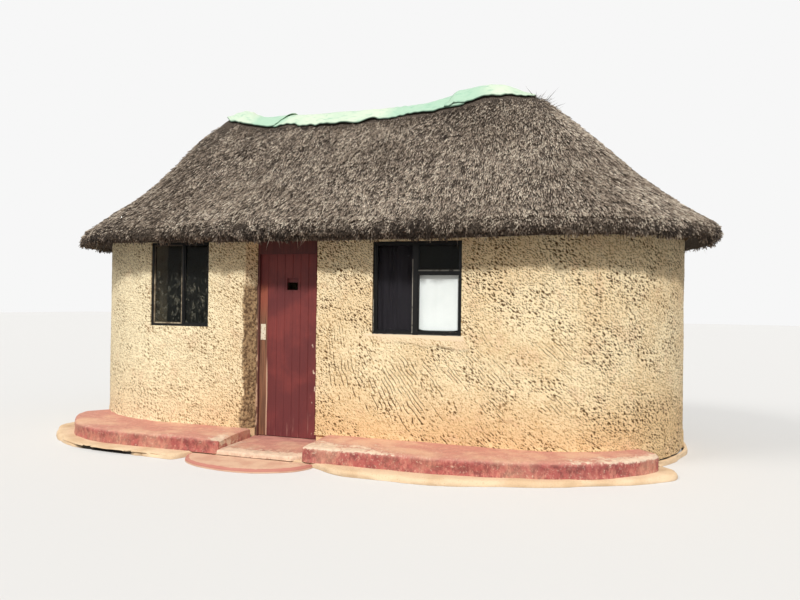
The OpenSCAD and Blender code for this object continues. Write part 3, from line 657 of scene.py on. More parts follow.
def plainMetal(name, colour, rust, roughness, metallic):
    material, shader, places = startMaterial(name, roughness, metallic)
    spots = step(noiseOf(places, 45.0, 6.0), 0.52, 0.64)
    plug(shader, "Base Color", blended(spots * 0.6, colour, rust))
    plug(shader, "Roughness", spots * 0.25 + roughness)
    bumped(shader, spots, 0.3, 0.0008)
    return material


# Glass with dust on it, most of it low down where dusty is 1; where it is 0, the right window's upper
# right pane is less clear than the others
def glassMaterial(name, dusty):
    material, shader, places = startMaterial(name, 0.08, Specular_IOR_Level=0.12)
    dust = noiseOf(places, 24.0, 6.0, (1.0, 1.0, 0.6))
    scratch = noiseOf(places, 9.0, 3.0, (1.6, 1.0, 0.7), distortion=1.2) - 0.5
    scratch = scratch.node("Math", {0: scratch}, operation="ABSOLUTE")
    film = step(dust, 0.5, 0.75) * 0.3 + (1 - step(scratch, 0.006, 0.022)) * step(dust, 0.42, 0.56) * 0.6
    film = film * (1 - step(axisOf(places, "Z"), 1.7, 2.15)) * dusty
    above = step(axisOf(places, "Z"), 1.87, 1.89) * step(axisOf(places, "X"), 1.0, 1.02) * 0.5
    plug(shader, "Base Color", blended(film, tint(30, 32, 30), tint(134, 130, 112)))
    plug(shader, "Alpha", film * 0.5 + (above * (1 - dusty) + (0.03 + 0.4 * dusty)))
    plug(shader, "Roughness", film * 0.35 + 0.06)
    return material


def clothMaterial(name, colour, shade, weave):
    material, shader, places = startMaterial(name, 0.85, uv=True)
    threads = places.node("TexWave", {"Vector": places, "Scale": weave, "Distortion": 0.4}, out="Fac")
    soil = noiseOf(places, 6.0, 4.0)
    plug(shader, "Base Color", blended(step(soil, 0.4, 0.75) * 0.5 + threads * 0.12, colour, shade))
    bumped(shader, threads, 0.2, 0.0006)
    return material


def greenSheetMaterial():
    material, shader, places = startMaterial("fadedGreenSheet", 0.6, uv=True)
    fade = noiseOf(places, 2.6, 5.0)
    crease = noiseOf(places, 16.0, 6.0, (0.5, 1.4, 1.0), roughness=0.65)
    weave = places.node("TexWave", {"Vector": places, "Scale": 60.0, "Distortion": 0.2}, out="Fac")
    along = axisOf(places, "X")
    shaded = within(along, -1.72, -1.25, 0.08) + within(along, 0.2, 1.4, 0.12)
    pale = (step(fade, 0.36, 0.62) * 0.35 + 0.65) * (1 - shaded * 0.8)
    colour = blended(pale, tint(160, 196, 170), tint(208, 218, 194))
    # Painted shade: the sheet is darker green along its creases
    colour = blended(step(crease, 0.52, 0.66) * 0.5, colour, tint(126, 176, 148))
    colour = blended(weave * 0.06, colour, tint(120, 184, 154))
    # Painted shade: the outermost row, along the hem, is dark green for the shade in the gap under the lifted
    # edge
    colour = blended(step(attributeOf(places, "hem"), 0.3, 0.8) * 0.85, colour, tint(52, 84, 66))
    plug(shader, "Base Color", colour)
    bumped(shader, crease, 0.5, 0.008)
    return material


finish = {
    "straw": strawMaterial(),
    "thatch": thatchMaterial(),
    "coat": plasterMaterial("dabbedMudPlaster", True),
    "wall": plasterMaterial("mudWall", False),
    "leaf": leafMaterial(),
    "frame": frameMaterial(),
    # Pale lines: the third, on the upper sash's lower bar under the fanlight, is a painted highlight; the
    # rest are wear
    "windowPaint": steelPaintMaterial("chippedBlackPaint", False, [
        (0.52, 0.95, 1.25, 1.268), (0.52, 0.534, 1.28, 1.62), (1.005, 1.43, 1.907, 1.921),
        (0.942, 0.949, 1.28, 2.03), (1.01, 1.44, 1.25, 1.268)]),
    "sashPaint": steelPaintMaterial("chippedSashPaint", True),
    "plate": plainMetal("creamPlate", tint(232, 220, 194), tint(170, 138, 100), 0.5, 0.0),
    "steel": plainMetal("dullSteel", tint(92, 86, 80), tint(104, 66, 44), 0.5, 0.7),
    "dustyGlass": glassMaterial("dustyGlass", 1.0),
    "glass": glassMaterial("darkGlass", 0.0),
    "pole": woodMaterial("barkedPole", tint(134, 108, 78), tint(78, 60, 42), (6.0, 6.0, 6.0)),
    "lath": woodMaterial("splitLath", tint(150, 124, 90), tint(92, 72, 50), (1.5, 12.0, 12.0)),
    "footing": cementMaterial("sandyCement", tint(228, 200, 164), tint(212, 180, 142),
                              tint(176, 144, 108)),
    "floor": floorMaterial(),
    "plinth": plinthMaterial("redOxidePlinth", tint(174, 92, 84), tint(200, 138, 120),
                             tint(232, 206, 178)),
    "step": plinthMaterial("wornStep", tint(206, 150, 128), tint(200, 138, 120), tint(228, 198, 170)),
    "lowStep": lowStepMaterial(),
    "darkCloth": clothMaterial("darkPurpleCloth", tint(14, 7, 17), tint(8, 5, 10), 260.0),
    "whiteCloth": clothMaterial("whiteCotton", tint(248, 253, 248), tint(236, 243, 238), 300.0),
    "greenSheet": greenSheetMaterial(),
}

print("stage: thatch")
# Lengths in metres and the tilt in degrees; hump, swell and tip end in lengths along x and y
thatch = {
    "wallTop": 2.40, "lath": 0.0252, "tilt": 41.0, "out": 0.372, "high": 0.32, "crown": 0.14, "hollow": 0.045,
    "lipHigh": 0.19, "lipLow": 0.165, "butt": 0.107, "lipRound": 0.10, "sag": 0.012, "droop": 0.05,
    "hump": (0.17, 0.43, 0.62, 0.33, 0.42), "swell": (0.16, 0.38, 0.44, 0.60), "tip": (0.09, 0.45, 1.5),
    "kick": 0.09, "bed": 0.085, "sunk": 0.015, "topSteps": 70, "lipSteps": 8,
}
run = math.tan(math.radians(thatch["tilt"]))
plumb = 1 / math.cos(math.radians(thatch["tilt"]))
eaveReach = hut["endR"] + thatch["out"]


# Reach is the distance from the ridge line, in plan
def underZ(reach):
    return thatch["wallTop"] + thatch["lath"] * plumb + run * (hut["endR"] - reach)


def topZ(reach):
    share = reach / eaveReach
    return (underZ(reach) + thatch["high"] - thatch["crown"] * np.exp(-reach * run / thatch["crown"])
            + 4 * thatch["hollow"] * (share * share - share) - thatch["droop"] * eased(share, 0.35, 0.71))


def lift(x, y):
    humpHigh, humpIn, humpLong, humpShort, humpWide = thatch["hump"]
    swellHigh, swellOut, swellLong, swellWide = thatch["swell"]
    tipHigh, tipLong, tipWide = thatch["tip"]
    hx = x - (hut["halfLen"] - humpIn)
    sx = x + hut["halfLen"] + swellOut
    return (humpHigh * bell(hx / np.where(hx < 0, humpLong, humpShort)) * bell(y / humpWide)
            + swellHigh * bell(sx / swellLong) * bell(y / swellWide)
            + tipHigh * bell((x - hut["halfLen"] - eaveReach) / tipLong) * bell(y / tipWide))


# How much higher the eave's lower edge lies towards the ends
def kick(x):
    return thatch["kick"] * (np.abs(x) / (hut["halfLen"] + eaveReach)) ** 3


# How far along a flat line each of its places lies
def lengthAlong(line):
    return np.concatenate([[0], np.cumsum(np.hypot(*np.diff(line, axis=0).T))])


# The thatch's outer side in a section: reach and height from the ridge to the lip's inner lower edge
def sectionLine():
    lipStart = eaveReach - thatch["lipRound"]
    reach = np.linspace(0, lipStart, thatch["topSteps"])
    line = list(zip(reach, topZ(reach)))
    a = np.array([lipStart, topZ(lipStart)])
    b = np.array([eaveReach, topZ(eaveReach)])
    c = np.array([eaveReach, underZ(eaveReach) + thatch["lipHigh"]])
    for i in range(1, thatch["lipSteps"] + 1):
        u = i / thatch["lipSteps"]
        line.append(tuple((a * (1 - u) + b * u) * (1 - u) + (b * (1 - u) + c * u) * u))
    lipZ = underZ(eaveReach) + thatch["lipLow"]
    innerZ = underZ(eaveReach - thatch["butt"])
    line.append((eaveReach, lipZ))
    line.append((eaveReach - thatch["butt"] / 2, (lipZ + innerZ) / 2 - thatch["sag"]))
    line.append((eaveReach - thatch["butt"], innerZ))
    line = np.array(line)
    return line, lengthAlong(line)


section, sectionRun = sectionLine()
topReach, topRun = section[:thatch["topSteps"], 0], sectionRun[:thatch["topSteps"]]
slopeLen = float(np.interp(eaveReach - thatch["lipRound"], topReach, topRun))
sectionLen = float(sectionRun[-1])
lipEnd = float(sectionRun[-3])


# Reach, height and outward slope direction of the section at a distance down it
def sectionAt(down):
    reach = np.interp(down, sectionRun, section[:, 0])
    height = np.interp(down, sectionRun, section[:, 1])
    nearby = 0.012
    before, after = np.clip(down - nearby, 0, sectionLen), np.clip(down + nearby, 0, sectionLen)
    dr = np.interp(after, sectionRun, section[:, 0]) - np.interp(before, sectionRun, section[:, 0])
    dz = np.interp(after, sectionRun, section[:, 1]) - np.interp(before, sectionRun, section[:, 1])
    size = np.hypot(dr, dz) + 1e-9
    return reach, height, dr / size, dz / size


# The patterns' lengthwise scale: metres to a radian of an end, and where the back slope lies on it
unrolled = {"perTurn": 1.3, "back": 30, "past": 20}


# Place on the roof: part is front, right, back or left; along is x on a slope and the turn on an end
def roofFrame(part, along, down):
    reach, height, dr, dz = sectionAt(down)
    if part in ("front", "back"):
        side = -1.0 if part == "front" else 1.0
        outX, outY = np.zeros_like(along), np.full_like(along, side)
        x, y = along, side * reach
        lengthwise = along if part == "front" else unrolled["back"] - along
    else:
        side = 1.0 if part == "right" else -1.0
        outX, outY = side * np.cos(along), np.sin(along)
        x, y = side * hut["halfLen"] + reach * outX, reach * outY
        turned = (along + math.pi / 2) * unrolled["perTurn"]
        lengthwise = side * (hut["halfLen"] + turned)
    height = height + lift(x, y) * eased(down, sectionLen, sectionLen - 0.12)
    height = height + kick(x) * np.clip((down - lipEnd) / (sectionLen - lipEnd), 0, 1)
    place = np.stack([x, y, height], axis=1)
    tangent = np.stack([outX * dr, outY * dr, dz], axis=1)
    normal = np.stack([-outX * dz, -outY * dz, dr], axis=1)
    return place, tangent, normal, reach, lengthwise


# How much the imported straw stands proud, in bundles that run down the slope; it is even under the sheet
def thatchLumps(lengthwise, down, reach):
    flat = onSheet(lengthwise, down)
    lumps = 0.016 * softNoise(flat, (0.55, 0.6, 1), 3) + 0.010 * softNoise(flat, (0.13, 0.42, 1), 5)
    lumps = lumps + 0.007 * softNoise(flat, (0.045, 0.14, 1), 7) + 0.004 * softNoise(flat, (0.02, 0.05, 1), 8)
    lip = eased(down, slopeLen - 0.02, slopeLen + 0.05)
    lumps = lumps + lip * 0.016 * softNoise(flat, (0.05, 0.05, 1), 9)
    half = hut["halfLen"]
    onBack = lengthwise > unrolled["past"]
    covered = np.where(onBack, 1.0, 1 - eased(lengthwise, half - 0.25, half))
    back = unrolled["back"]
    seam = np.minimum(np.abs(lengthwise - back - half), np.abs(lengthwise - back + half))
    seam = np.where(onBack, seam, half + math.pi * unrolled["perTurn"] - np.abs(lengthwise))
    lumps = lumps * eased(seam, 0, 0.2) - 0.012
    lumps = lumps * eased(reach, 0.02 + 0.2 * covered, 0.25 + 0.2 * covered)
    return lumps * eased(down, sectionLen, sectionLen - 0.03)


# The lip takes the last part of the outer rows, from lipFrom on
slopeRows = {
    "outer": 96, "under": 4, "lipFrom": 0.72, "lipPart": 0.28, "lipBefore": 0.1,
    "columns": {"front": 120, "back": 60, "left": 90, "right": 120},
    "nodes": {"front": "thatch_front", "back": "thatch_back", "left": "thatch_left_end",
              "right": "thatch_right_end"},
}


def addThatch(part):
    outer, under = slopeRows["outer"], slopeRows["under"]
    columns = slopeRows["columns"][part]
    piece, column, row = newGrid("thatch" + part.title(), columns, outer + under + 1)
    share, lipFrom, before = np.clip(row / outer, 0, 1), slopeRows["lipFrom"], slopeRows["lipBefore"]
    inLip = (share - lipFrom) / slopeRows["lipPart"]
    down = np.where(share < lipFrom, share / lipFrom * (slopeLen - before),
                    slopeLen - before + inLip * (sectionLen - slopeLen + before))
    isSlope = part in ("front", "back")
    if isSlope:
        along = (column / columns * 2 - 1) * hut["halfLen"]
    else:
        along = (column / columns - 0.5) * math.pi
    place, _, normal, reach, lengthwise = roofFrame(part, along, down)
    sunk = thatch["sunk"] * eased(reach, 0.25, 0.45) * eased(down, sectionLen, sectionLen - 0.03)
    place = place + normal * ((thatchLumps(lengthwise, down, reach) - sunk) * (row <= outer))[:, None]
    bedReach = hut["endR"] + thatch["bed"]
    innerReach = np.interp(row, [outer, outer + 1, outer + under],
                           [eaveReach - thatch["butt"], bedReach, 0])
    scale = np.where(reach > 0, innerReach / np.maximum(reach, 1e-6), 0)
    isUnder = row > outer
    if not isSlope:
        midX = np.sign(place[:, 0]) * hut["halfLen"]
        place[isUnder, 0] = (midX + (place[:, 0] - midX) * scale)[isUnder]
    place[isUnder, 1] *= scale[isUnder]
    place[isUnder, 2] = underZ(innerReach[isUnder])
    closing = row == outer + under + 1
    start = roofFrame(part, along, np.zeros_like(down))[0]
    place[closing] = start[closing]
    setPlaces(piece, place)
    setMap(piece, lengthwise, down + isUnder * 1.0)
    closeUp(piece, 60)
    finishPiece(piece, "thatch", [slopeRows["nodes"][part]])


for part in ("front", "back", "left", "right"):
    addThatch(part)

print("stage: straw")
straw = {
    "count": {"front": 37000, "right": 31000, "left": 20000, "back": 15000},
    "lip": {"front": 8000, "right": 9000, "left": 7000, "back": 4000},
    "length": (0.045, 0.13), "lipLength": (0.025, 0.06), "width": (0.0028, 0.0064), "crook": 0.12,
    "turn": 6.28, "firstSeed": 100,
}
spikeFaces = [(0, 1, 3), (1, 2, 3), (2, 0, 3), (0, 2, 1)]
# Reach of the green sheet's front edge at places along the ridge
sheetEdge = {
    "x": [-1.95, -1.72, -1.40, -1.12, -0.74, -0.21, 0.28, 0.60, 0.91, 1.19, 1.64, 1.88, 1.98],
    "front": [0.28, 0.31, 0.38, 0.34, 0.39, 0.39, 0.34, 0.34, 0.31, 0.32, 0.28, 0.20, 0.13],
    "back": 0.31,
}


def sheetReach(x, side):
    front = np.interp(x, sheetEdge["x"], sheetEdge["front"])
    back = sheetEdge["back"] + 0.03 * softNoise(onSheet(x, x * 0), (0.3, 1, 1), 12)
    return np.where(side < 0, front, back)


# Straws as thin wedges: a point at the hidden root and a blunt cut end, or the other way round
def spikes(root, direction, length, width, turn, blunt=True):
    up = np.tile([0.0, 0.0, 1.0], (len(root), 1))
    sideA = np.cross(direction, up)
    sideA /= np.linalg.norm(sideA, axis=1)[:, None] + 1e-9
    sideB = np.cross(sideA, direction)
    end = root + direction * length[:, None]
    point, middle = (root, end) if blunt else (end, root)
    corners = []
    for k in range(3):
        angle = turn + k * 2 * math.pi / 3 * (1 if blunt else -1)
        aside = sideA * np.cos(angle)[:, None] + sideB * np.sin(angle)[:, None]
        corners.append(middle + aside * width[:, None])
    corners.append(point)
    return np.stack(corners, axis=1)


def strawPiece(name, shapes, tone, blunt=True):
    piece = joinedShapes(name, shapes, spikeFaces)
    # along runs from 0 at a straw's root to 1 at its tip, and the material paints shade towards the root
    corners = [1.0, 1.0, 1.0, 0.0] if blunt else [0.3, 0.3, 0.3, 1.0]
    setAttributes(piece, tone=np.repeat(tone, 4), along=np.tile(corners, len(tone)))
    finishPiece(piece, "straw")


def addStraw(part, seed):
    draw = np.random.default_rng(seed)
    count, lips = straw["count"][part], straw["lip"][part]
    total = count + lips
    share = draw.random(count)
    if part in ("front", "back"):
        along = (draw.random(total) * 2 - 1) * hut["halfLen"]
        first = sheetReach(along[:count], -1 if part == "front" else 1) - 0.03
        first = np.interp(first, topReach, topRun)
        down = first + share * (slopeLen - first)
    else:
        along = (draw.random(total) - 0.5) * math.pi
        first = 0.05 if part == "right" else 0.36
        down = first + np.sqrt(share) * (slopeLen - first)
    lipDown = slopeLen - 0.03 + draw.random(lips) ** 0.8 * (sectionLen - slopeLen + 0.01)
    down = np.concatenate([down, lipDown])
    isLip = np.arange(total) >= count
    place, tangent, normal, reach, lengthwise = roofFrame(part, along, down)
    place = place + normal * (thatchLumps(lengthwise, down, reach) - 0.011)[:, None]
    slope = roofFrame(part, along, np.full(total, slopeLen - 0.15))[1]
    sideways = np.cross(tangent, normal)
    flat = onSheet(lengthwise, down)
    sway = draw.normal(0, straw["crook"], total) + 0.16 * softNoise(flat, (0.25, 0.25, 1), 21)
    rise = draw.uniform(0.03, 0.2, total)
    direction = tangent + normal * rise[:, None] + sideways * sway[:, None]
    fallen = eased(down, slopeLen, slopeLen + 0.08)[:, None]
    over = draw.uniform(0.3, 1.0, total)[:, None]
    raised = draw.uniform(0.02, 0.5, total)[:, None] * (0.3 + 0.7 * fallen)
    lipWay = slope * (1 - over) + tangent * over + normal * raised
    lipWay = lipWay + sideways * (sway * 2.0)[:, None]
    direction = np.where(isLip[:, None], lipWay, direction)
    direction /= np.linalg.norm(direction, axis=1)[:, None]
    length = draw.uniform(*straw["length"], total)
    clump = 1 + 0.5 * softNoise(flat, (0.04, 0.2, 1), 23)
    length = np.where(isLip, draw.uniform(*straw["lipLength"], total) * clump, length)
    width = draw.uniform(*straw["width"], total)
    shapes = spikes(place, direction, length, width, draw.random(total) * straw["turn"])
    tone = draw.normal(0.50, 0.3, total) + 0.14 * softNoise(flat, (0.5, 0.7, 1), 31)
    # Painted shade: straws on the lip's lower face are darker; painted light: the tone rises towards the
    # right end
    tone = tone - 0.5 * eased(down, slopeLen + 0.1, slopeLen + 0.2) + 0.03 * place[:, 0]
    tone = tone + (0.34 + 0.34 * isLip) * softNoise(flat, (0.03, 0.08, 1), 33)
    # Painted shadow: straws just below the sheet's edge are darker, for the shadow of the lifted edge
    if part in ("front", "back"):
        edge = sheetReach(along, -1 if part == "front" else 1)
        tone = tone - 0.3 * eased(reach - edge, 0.06, 0.01)
    strawPiece("straw" + part.title(), shapes, np.clip(tone, 0, 1))


for number, part in enumerate(straw["count"]):
    addStraw(part, straw["firstSeed"] + number)

# Stitch is where the stitching begins and ends along x, how far down the slope it lies, and its spacing;
# tall is the tuft's longest straws, each with its place, direction and length
looseStraw = {
    "seed": 77, "hanging": 60, "reeds": 26, "tuft": 60, "tuftPlace": (2.06, -0.02),
    "stitch": (-0.05, 1.35, 1.0, 0.07), "parts": ["front", "front", "right", "left", "back"],
    "tall": [(1.99, -0.1, (-0.55, 0, 0.75), 0.21), (2.1, -0.05, (0.7, -0.2, 0.66), 0.24),
             (2.0, 0.05, (-0.15, 0.2, 0.95), 0.15), (2.2, -0.05, (0.9, -0.2, 0.2), 0.16)],
}


# The roof's surface at a place near the ridge's right end
def ridgeTop(x, y):
    reach = math.hypot(max(x - hut["halfLen"], 0), y)
    return float(topZ(reach) + lift(np.array(x), np.array(y)))


# Straws that hang off the lip, pale reeds on the slope, the dark tuft at the ridge's end, and the stitching
def addLooseStraw():
    draw = np.random.default_rng(looseStraw["seed"])
    roots, ways, lengths, widths, tones = [], [], [], [], []

    def put(place, way, length, width, tone):
        roots.append(place)
        ways.append(way / np.linalg.norm(way))
        lengths.append(length)
        widths.append(width)
        tones.append(tone)

    for _ in range(looseStraw["hanging"]):
        part = draw.choice(looseStraw["parts"])
        along = draw.uniform(-1.9, 1.9) if part in ("front", "back") else draw.uniform(-1.5, 1.5)
        place, _, normal, _, _ = roofFrame(part, np.array([along]), np.array([sectionLen - 0.05]))
        way = normal[0] * 0.3 + np.array([draw.normal(0, 0.35), draw.normal(0, 0.35), -1.0])
        put(place[0], way, draw.uniform(0.05, 0.14), 0.0022, draw.uniform(0.5, 1))
    for _ in range(looseStraw["reeds"]):
        part = draw.choice(looseStraw["parts"])
        along = draw.uniform(-1.8, 1.9) if part in ("front", "back") else draw.uniform(-1.4, 1.4)
        down = draw.uniform(0.45, slopeLen - 0.45)
        place, tangent, normal, _, _ = roofFrame(part, np.array([along]), np.array([down]))
        side = np.cross(tangent[0], normal[0])
        way = tangent[0] + side * draw.normal(0, 0.35) + normal[0] * 0.02
        put(place[0] + normal[0] * 0.014, way, draw.uniform(0.2, 0.42), 0.0032, 1.0)
    place, tangent, normal, _, _ = roofFrame("front", np.array([1.66]), np.array([0.42]))
    put(place[0] + normal[0] * 0.02, tangent[0] + np.array([0.16, 0, 0]) + normal[0] * 0.02, 0.5, 0.005, 1.0)
    for _ in range(looseStraw["tuft"]):
        x = looseStraw["tuftPlace"][0] + draw.normal(0, 0.07)
        y = looseStraw["tuftPlace"][1] + draw.normal(0, 0.09)
        way = np.array([draw.normal(0.25, 0.7), draw.normal(-0.1, 0.5), draw.uniform(0.1, 0.6)])
        root = np.array([x, y, ridgeTop(x, y) - 0.02])
        put(root, way, draw.uniform(0.05, 0.17), 0.0034, draw.uniform(0, 0.25))
    for x, y, way, length in looseStraw["tall"]:
        put(np.array([x, y, ridgeTop(x, y) - 0.01]), np.array(way), length, 0.005, 0.0)
    first, last, level, spacing = looseStraw["stitch"]
    for x in np.arange(first, last, spacing):
        down = level + 0.03 * math.sin(x * 3.1) + draw.normal(0, 0.006)
        place, tangent, normal, reach, lengthwise = roofFrame("front", np.array([x]), np.array([down]))
        lumps = thatchLumps(lengthwise, np.array([down]), reach)
        way = np.array([1.0, 0, 0]) + tangent[0] * draw.normal(0, 0.12)
        put(place[0] + normal[0] * (0.012 + lumps[0]), way, 0.06, 0.006, 0.0)
    arrays = [np.array(v) for v in (roots, ways, lengths, widths, tones)]
    shapes = spikes(*arrays[:4], draw.random(len(tones)) * straw["turn"], False)
    strawPiece("looseStraw", shapes, arrays[4], False)


addLooseStraw()

print("stage: ridge sheet")
sheetGrid = {"column": 0.025, "rows": 36, "slant": 0.13, "thick": 0.004, "wide": 0.9, "lap": 0.05}
ridgeSheets = {
    "left": {"from": -2.20, "to": -1.22, "gap": 0.020, "curl": 0.026, "seed": 201},
    "middle": {"from": -1.36, "to": 1.17, "gap": 0.010, "curl": 0.0, "seed": 202},
    "right": {"from": 1.05, "to": 1.985, "gap": 0.022, "curl": 0.016, "seed": 203},
}


# A length of the green sheet, in rows that cross the ridge; the left one closes around the ridge's end
def addRidgeSheet(name):
    part = ridgeSheets[name]
    seed, length = part["seed"], part["to"] - part["from"]
    inner = part["to"] if name == "left" else part["from"]
    columns = int(length / sheetGrid["column"])
    rows = sheetGrid["rows"]
    piece, column, row = newGrid("ridgeSheet" + name.title(), columns, rows)
    x = part["from"] + length * column / columns
    across = 1 - 2 * row / rows
    slant = -sheetGrid["slant"] * across if name != "middle" else 0 * across
    x = x + slant * bell((x - inner) / 0.3)
    wide = sheetReach(x, np.sign(across) * -1)
    side = onSheet(x, np.sign(across))
    edgeNoise = 0.022 * softNoise(side, (0.16, 1, 1), seed)
    wide = wide + (edgeNoise + 0.010 * softNoise(side, (0.05, 1, 1), seed + 1))
    if name == "left":
        rounding = np.clip((-hut["halfLen"] - x) / (-hut["halfLen"] - part["from"]), 0, 1)
        wide = wide * np.sqrt(np.clip(1 - rounding ** 2.6, 0, 1)) + 0.001
    y = -across * wide
    reach = np.hypot(np.maximum(np.abs(x) - hut["halfLen"], 0), y)
    height = topZ(reach) + lift(x, y)
    flat = onSheet(x, y)
    lumps = 0.012 * layered(flat, (0.30, 0.20, 1), seed + 2)
    lumps = lumps + 0.006 * layered(flat, (0.08, 0.12, 1), seed + 5)
    folds = (x + 0.4 * y) / 0.11 * 2 * math.pi + 3 * softNoise(flat, (0.3, 0.3, 1), seed + 8)
    folds = 0.010 * np.sin(folds)
    folds = folds * np.clip(softNoise(flat, (0.35, 0.25, 1), seed + 9) + 0.1, 0, 1)
    raised = 0.008 + 0.016 * np.clip(softNoise(flat, (0.2, 1, 1), seed + 11) + 0.3, 0, 1)
    edge = eased(np.abs(across), 0.78, 0.97) * raised
    edge = edge - 0.012 * eased(np.abs(across), 0.97, 1.0)
    curl = part["curl"] * bell((x - inner) / 0.05)
    risen = 0.018 * eased(x, -1.7, -1.3) * eased(x, 1.9, 1.3) + 0.02 * bell((x - 1.1) / 0.35)
    risen = (risen + 0.055 * bell((x + 1.9) / 0.16)) * (1 - across ** 2)
    height = height + np.clip(part["gap"] + lumps + folds + 0.010, 0.006, 0.08) + edge + curl + risen
    putAt(piece, x, y, height)
    setMap(piece, x, y)
    # hem marks the outermost row, which the material paints dark green as shade under the edge
    setAttributes(piece, hem=(np.abs(across) > 0.99) * 1.0)
    mergeClose(piece, 0.0005)
    applied(piece, "SOLIDIFY", thickness=sheetGrid["thick"], offset=0.0)
    smoothed(piece)
    finishPiece(piece, "greenSheet", ["ridge_sheet_" + name])


for name in ridgeSheets:
    addRidgeSheet(name)

print("stage: plaster coat")
# Low is the coat's lower edge over the plinth, and bareLow where there is none
plasterCoat = {
    "low": 0.185, "bareLow": 0.056, "high": 2.385, "rows": 184, "backRows": 64, "tucked": 0.026,
    "thick": 0.013, "groove": 0.0058, "strokeGap": 0.036, "backStep": 0.035, "cornerSteps": 5,
    "leftSteps": 14, "rightSteps": 9, "rightDepth": 0.14,
}


# Plan places of the wall's outer face with their outward directions, from a list of lengthwise steps
def wallPath(steps):
    half, r = hut["halfLen"], hut["endR"]
    quarter = r * math.pi / 2
    places, outwards = [], []
    for s in steps:
        if abs(s) <= half:
            places.append((s, -r))
            outwards.append((0.0, -1.0))
        elif abs(s) <= half + 2 * quarter:
            side = math.copysign(1, s)
            turn = (abs(s) - half) / r
            places.append((side * (half + r * math.sin(turn)), -r * math.cos(turn)))
            outwards.append((side * math.sin(turn), -math.cos(turn)))
        else:
            places.append((math.copysign(half, s) * (1 - (abs(s) - half - 2 * quarter) / half), r))
            outwards.append((0.0, 1.0))
    return np.array(places), np.array(outwards)


def stepsOver(marks, sizes):
    line = [marks[0]]
    for a, b, size in zip(marks[:-1], marks[1:], sizes):
        count = max(1, int(round(abs(b - a) / size)))
        line += [a + (b - a) * i / count for i in range(1, count + 1)]
    return np.array(line)


# Finger strokes curve down to the right: their count across, and how much each shows along its length
def strokes(s, z):
    flat = onSheet(s, z)
    sway = 0.05 * softNoise(flat, (0.6, 0.6, 1), 51) + 0.016 * softNoise(flat, (0.09, 0.09, 1), 53)
    phase = (0.88 * s + 0.47 * z + 0.36 * (s - 0.9) * (z - 1.0) + sway) / plasterCoat["strokeGap"]
    number = np.floor(phase)
    along = 0.47 * s - 0.88 * z
    rough = softNoise(np.stack([number * 1.7, along / 0.055, number * 0.6], axis=1), 1, 55)
    best = bell((s - 0.75) / 0.5) * bell((z - 0.8) / 0.35) + bell((s - 1.75) / 0.3) * bell((z - 1.3) / 0.3)
    seen = eased(rough + 0.5 * softNoise(flat, (0.3, 0.3, 1), 58) + 0.3 * best, -0.05, 0.45)
    return phase, seen


# Dabs of plaster with a hollow at the lower left of each, from 1 in the hollow to 0, and their domes
def pits(s, z, size, seed):
    near, awayA, awayB, own = dabs(s, z, size, seed)
    side = np.clip(0.25 - awayA / (near + 1e-6) * 0.75 - awayB / (near + 1e-6) * 0.55, 0, 1)
    return eased(near, 0.42, 0.62) * side * (0.35 + 0.65 * own), (1 - np.clip(near, 0, 1) ** 2) * own


# The coat's thickness over the mud, and what its material reads at each place
def coatRelief(s, z):
    flat = onSheet(s, z)
    wander = 0.012 * softNoise(flat, (0.06, 0.06, 1), 41)
    big, dome = pits(s + wander, z, 0.044, 43)
    drawn = (eased(s, -0.25, 0.3) * eased(s, 3.3, 2.1)
             * eased(z + 0.3 * softNoise(flat, (0.5, 0.4, 1), 57) - 0.25 * bell((s - 1.75) / 0.3), 1.5, 1.05))
    phase, seen = strokes(s, z)
    part = phase - np.floor(phase)
    groove = eased(part, 0.6, 0.8) * eased(part, 1.0, 0.9) * seen
    hollow = np.clip(big * (1 - 0.6 * drawn) + groove * drawn, 0, 1)
    left, right, sill, _ = hut["rightWindow"]
    depth = 0.05 + 0.075 * np.clip((s - left) / (right - left), 0, 1)
    depth = depth + 0.016 * softNoise(flat, (0.12, 1, 1), 61)
    strip = 0.35 * depth + 0.008 * softNoise(flat, (0.07, 1, 1), 60)
    smooth = (eased(s, left - 0.12, left - 0.04) * eased(s, right + 0.05, right + 0.01) * (z < sill + 0.005)
              * (0.65 * eased(z, sill - strip - 0.012, sill - strip + 0.006)
                 + 0.35 * eased(z, sill - depth - 0.012, sill - depth + 0.012)))
    under = bell((z - sill + depth + 0.012) / 0.011) * eased(s, left + 0.1, left + 0.4) * (s < right + 0.08)
    under = under * (0.35 + 0.65 * eased(softNoise(flat, (0.09, 1, 1), 62), -0.3, 0.3))
    crack = 0.8 * under
    thick = plasterCoat["thick"] + 0.0034 * dome * (1 - smooth) + 0.004 * softNoise(flat, (0.4, 0.4, 1), 63)
    crusted = np.clip(0.5 + softNoise(flat, (0.08, 1, 1), 64), 0, 1)
    thick = thick + 0.012 * crusted * eased(z, 0.23 + 0.03 * softNoise(flat, (0.06, 1, 1), 66), 0.2)
    thick = thick - plasterCoat["groove"] * np.clip(hollow * (1 - smooth) + crack, 0, 1) + 0.002 * smooth
    ragged = 0.016 * layered(flat, (1, 0.13, 1), 65) + 0.010 * softNoise(flat, (1, 0.035, 1), 67)
    edge = hut["revealLeft"] - hut["splay"] + ragged - 0.012 - 0.03 * eased(z, 0.6, 0.3)
    bare = eased(s, edge - 0.003, edge + 0.003) * eased(z, 1.80, 1.71) * (s < -0.5)
    crumbs = 0.0015 + 0.008 * np.clip(layered(flat, (0.05, 0.05, 1), 71) + 0.3, 0, 1)
    thick = thick * (1 - bare) + crumbs * bare
    marks = {"smooth": smooth, "bare": bare, "crack": crack * (1 - bare), "drawn": drawn * (1 - bare),
             "phase": phase, "seen": seen}
    return np.clip(thick, 0.0008, 0.03), marks


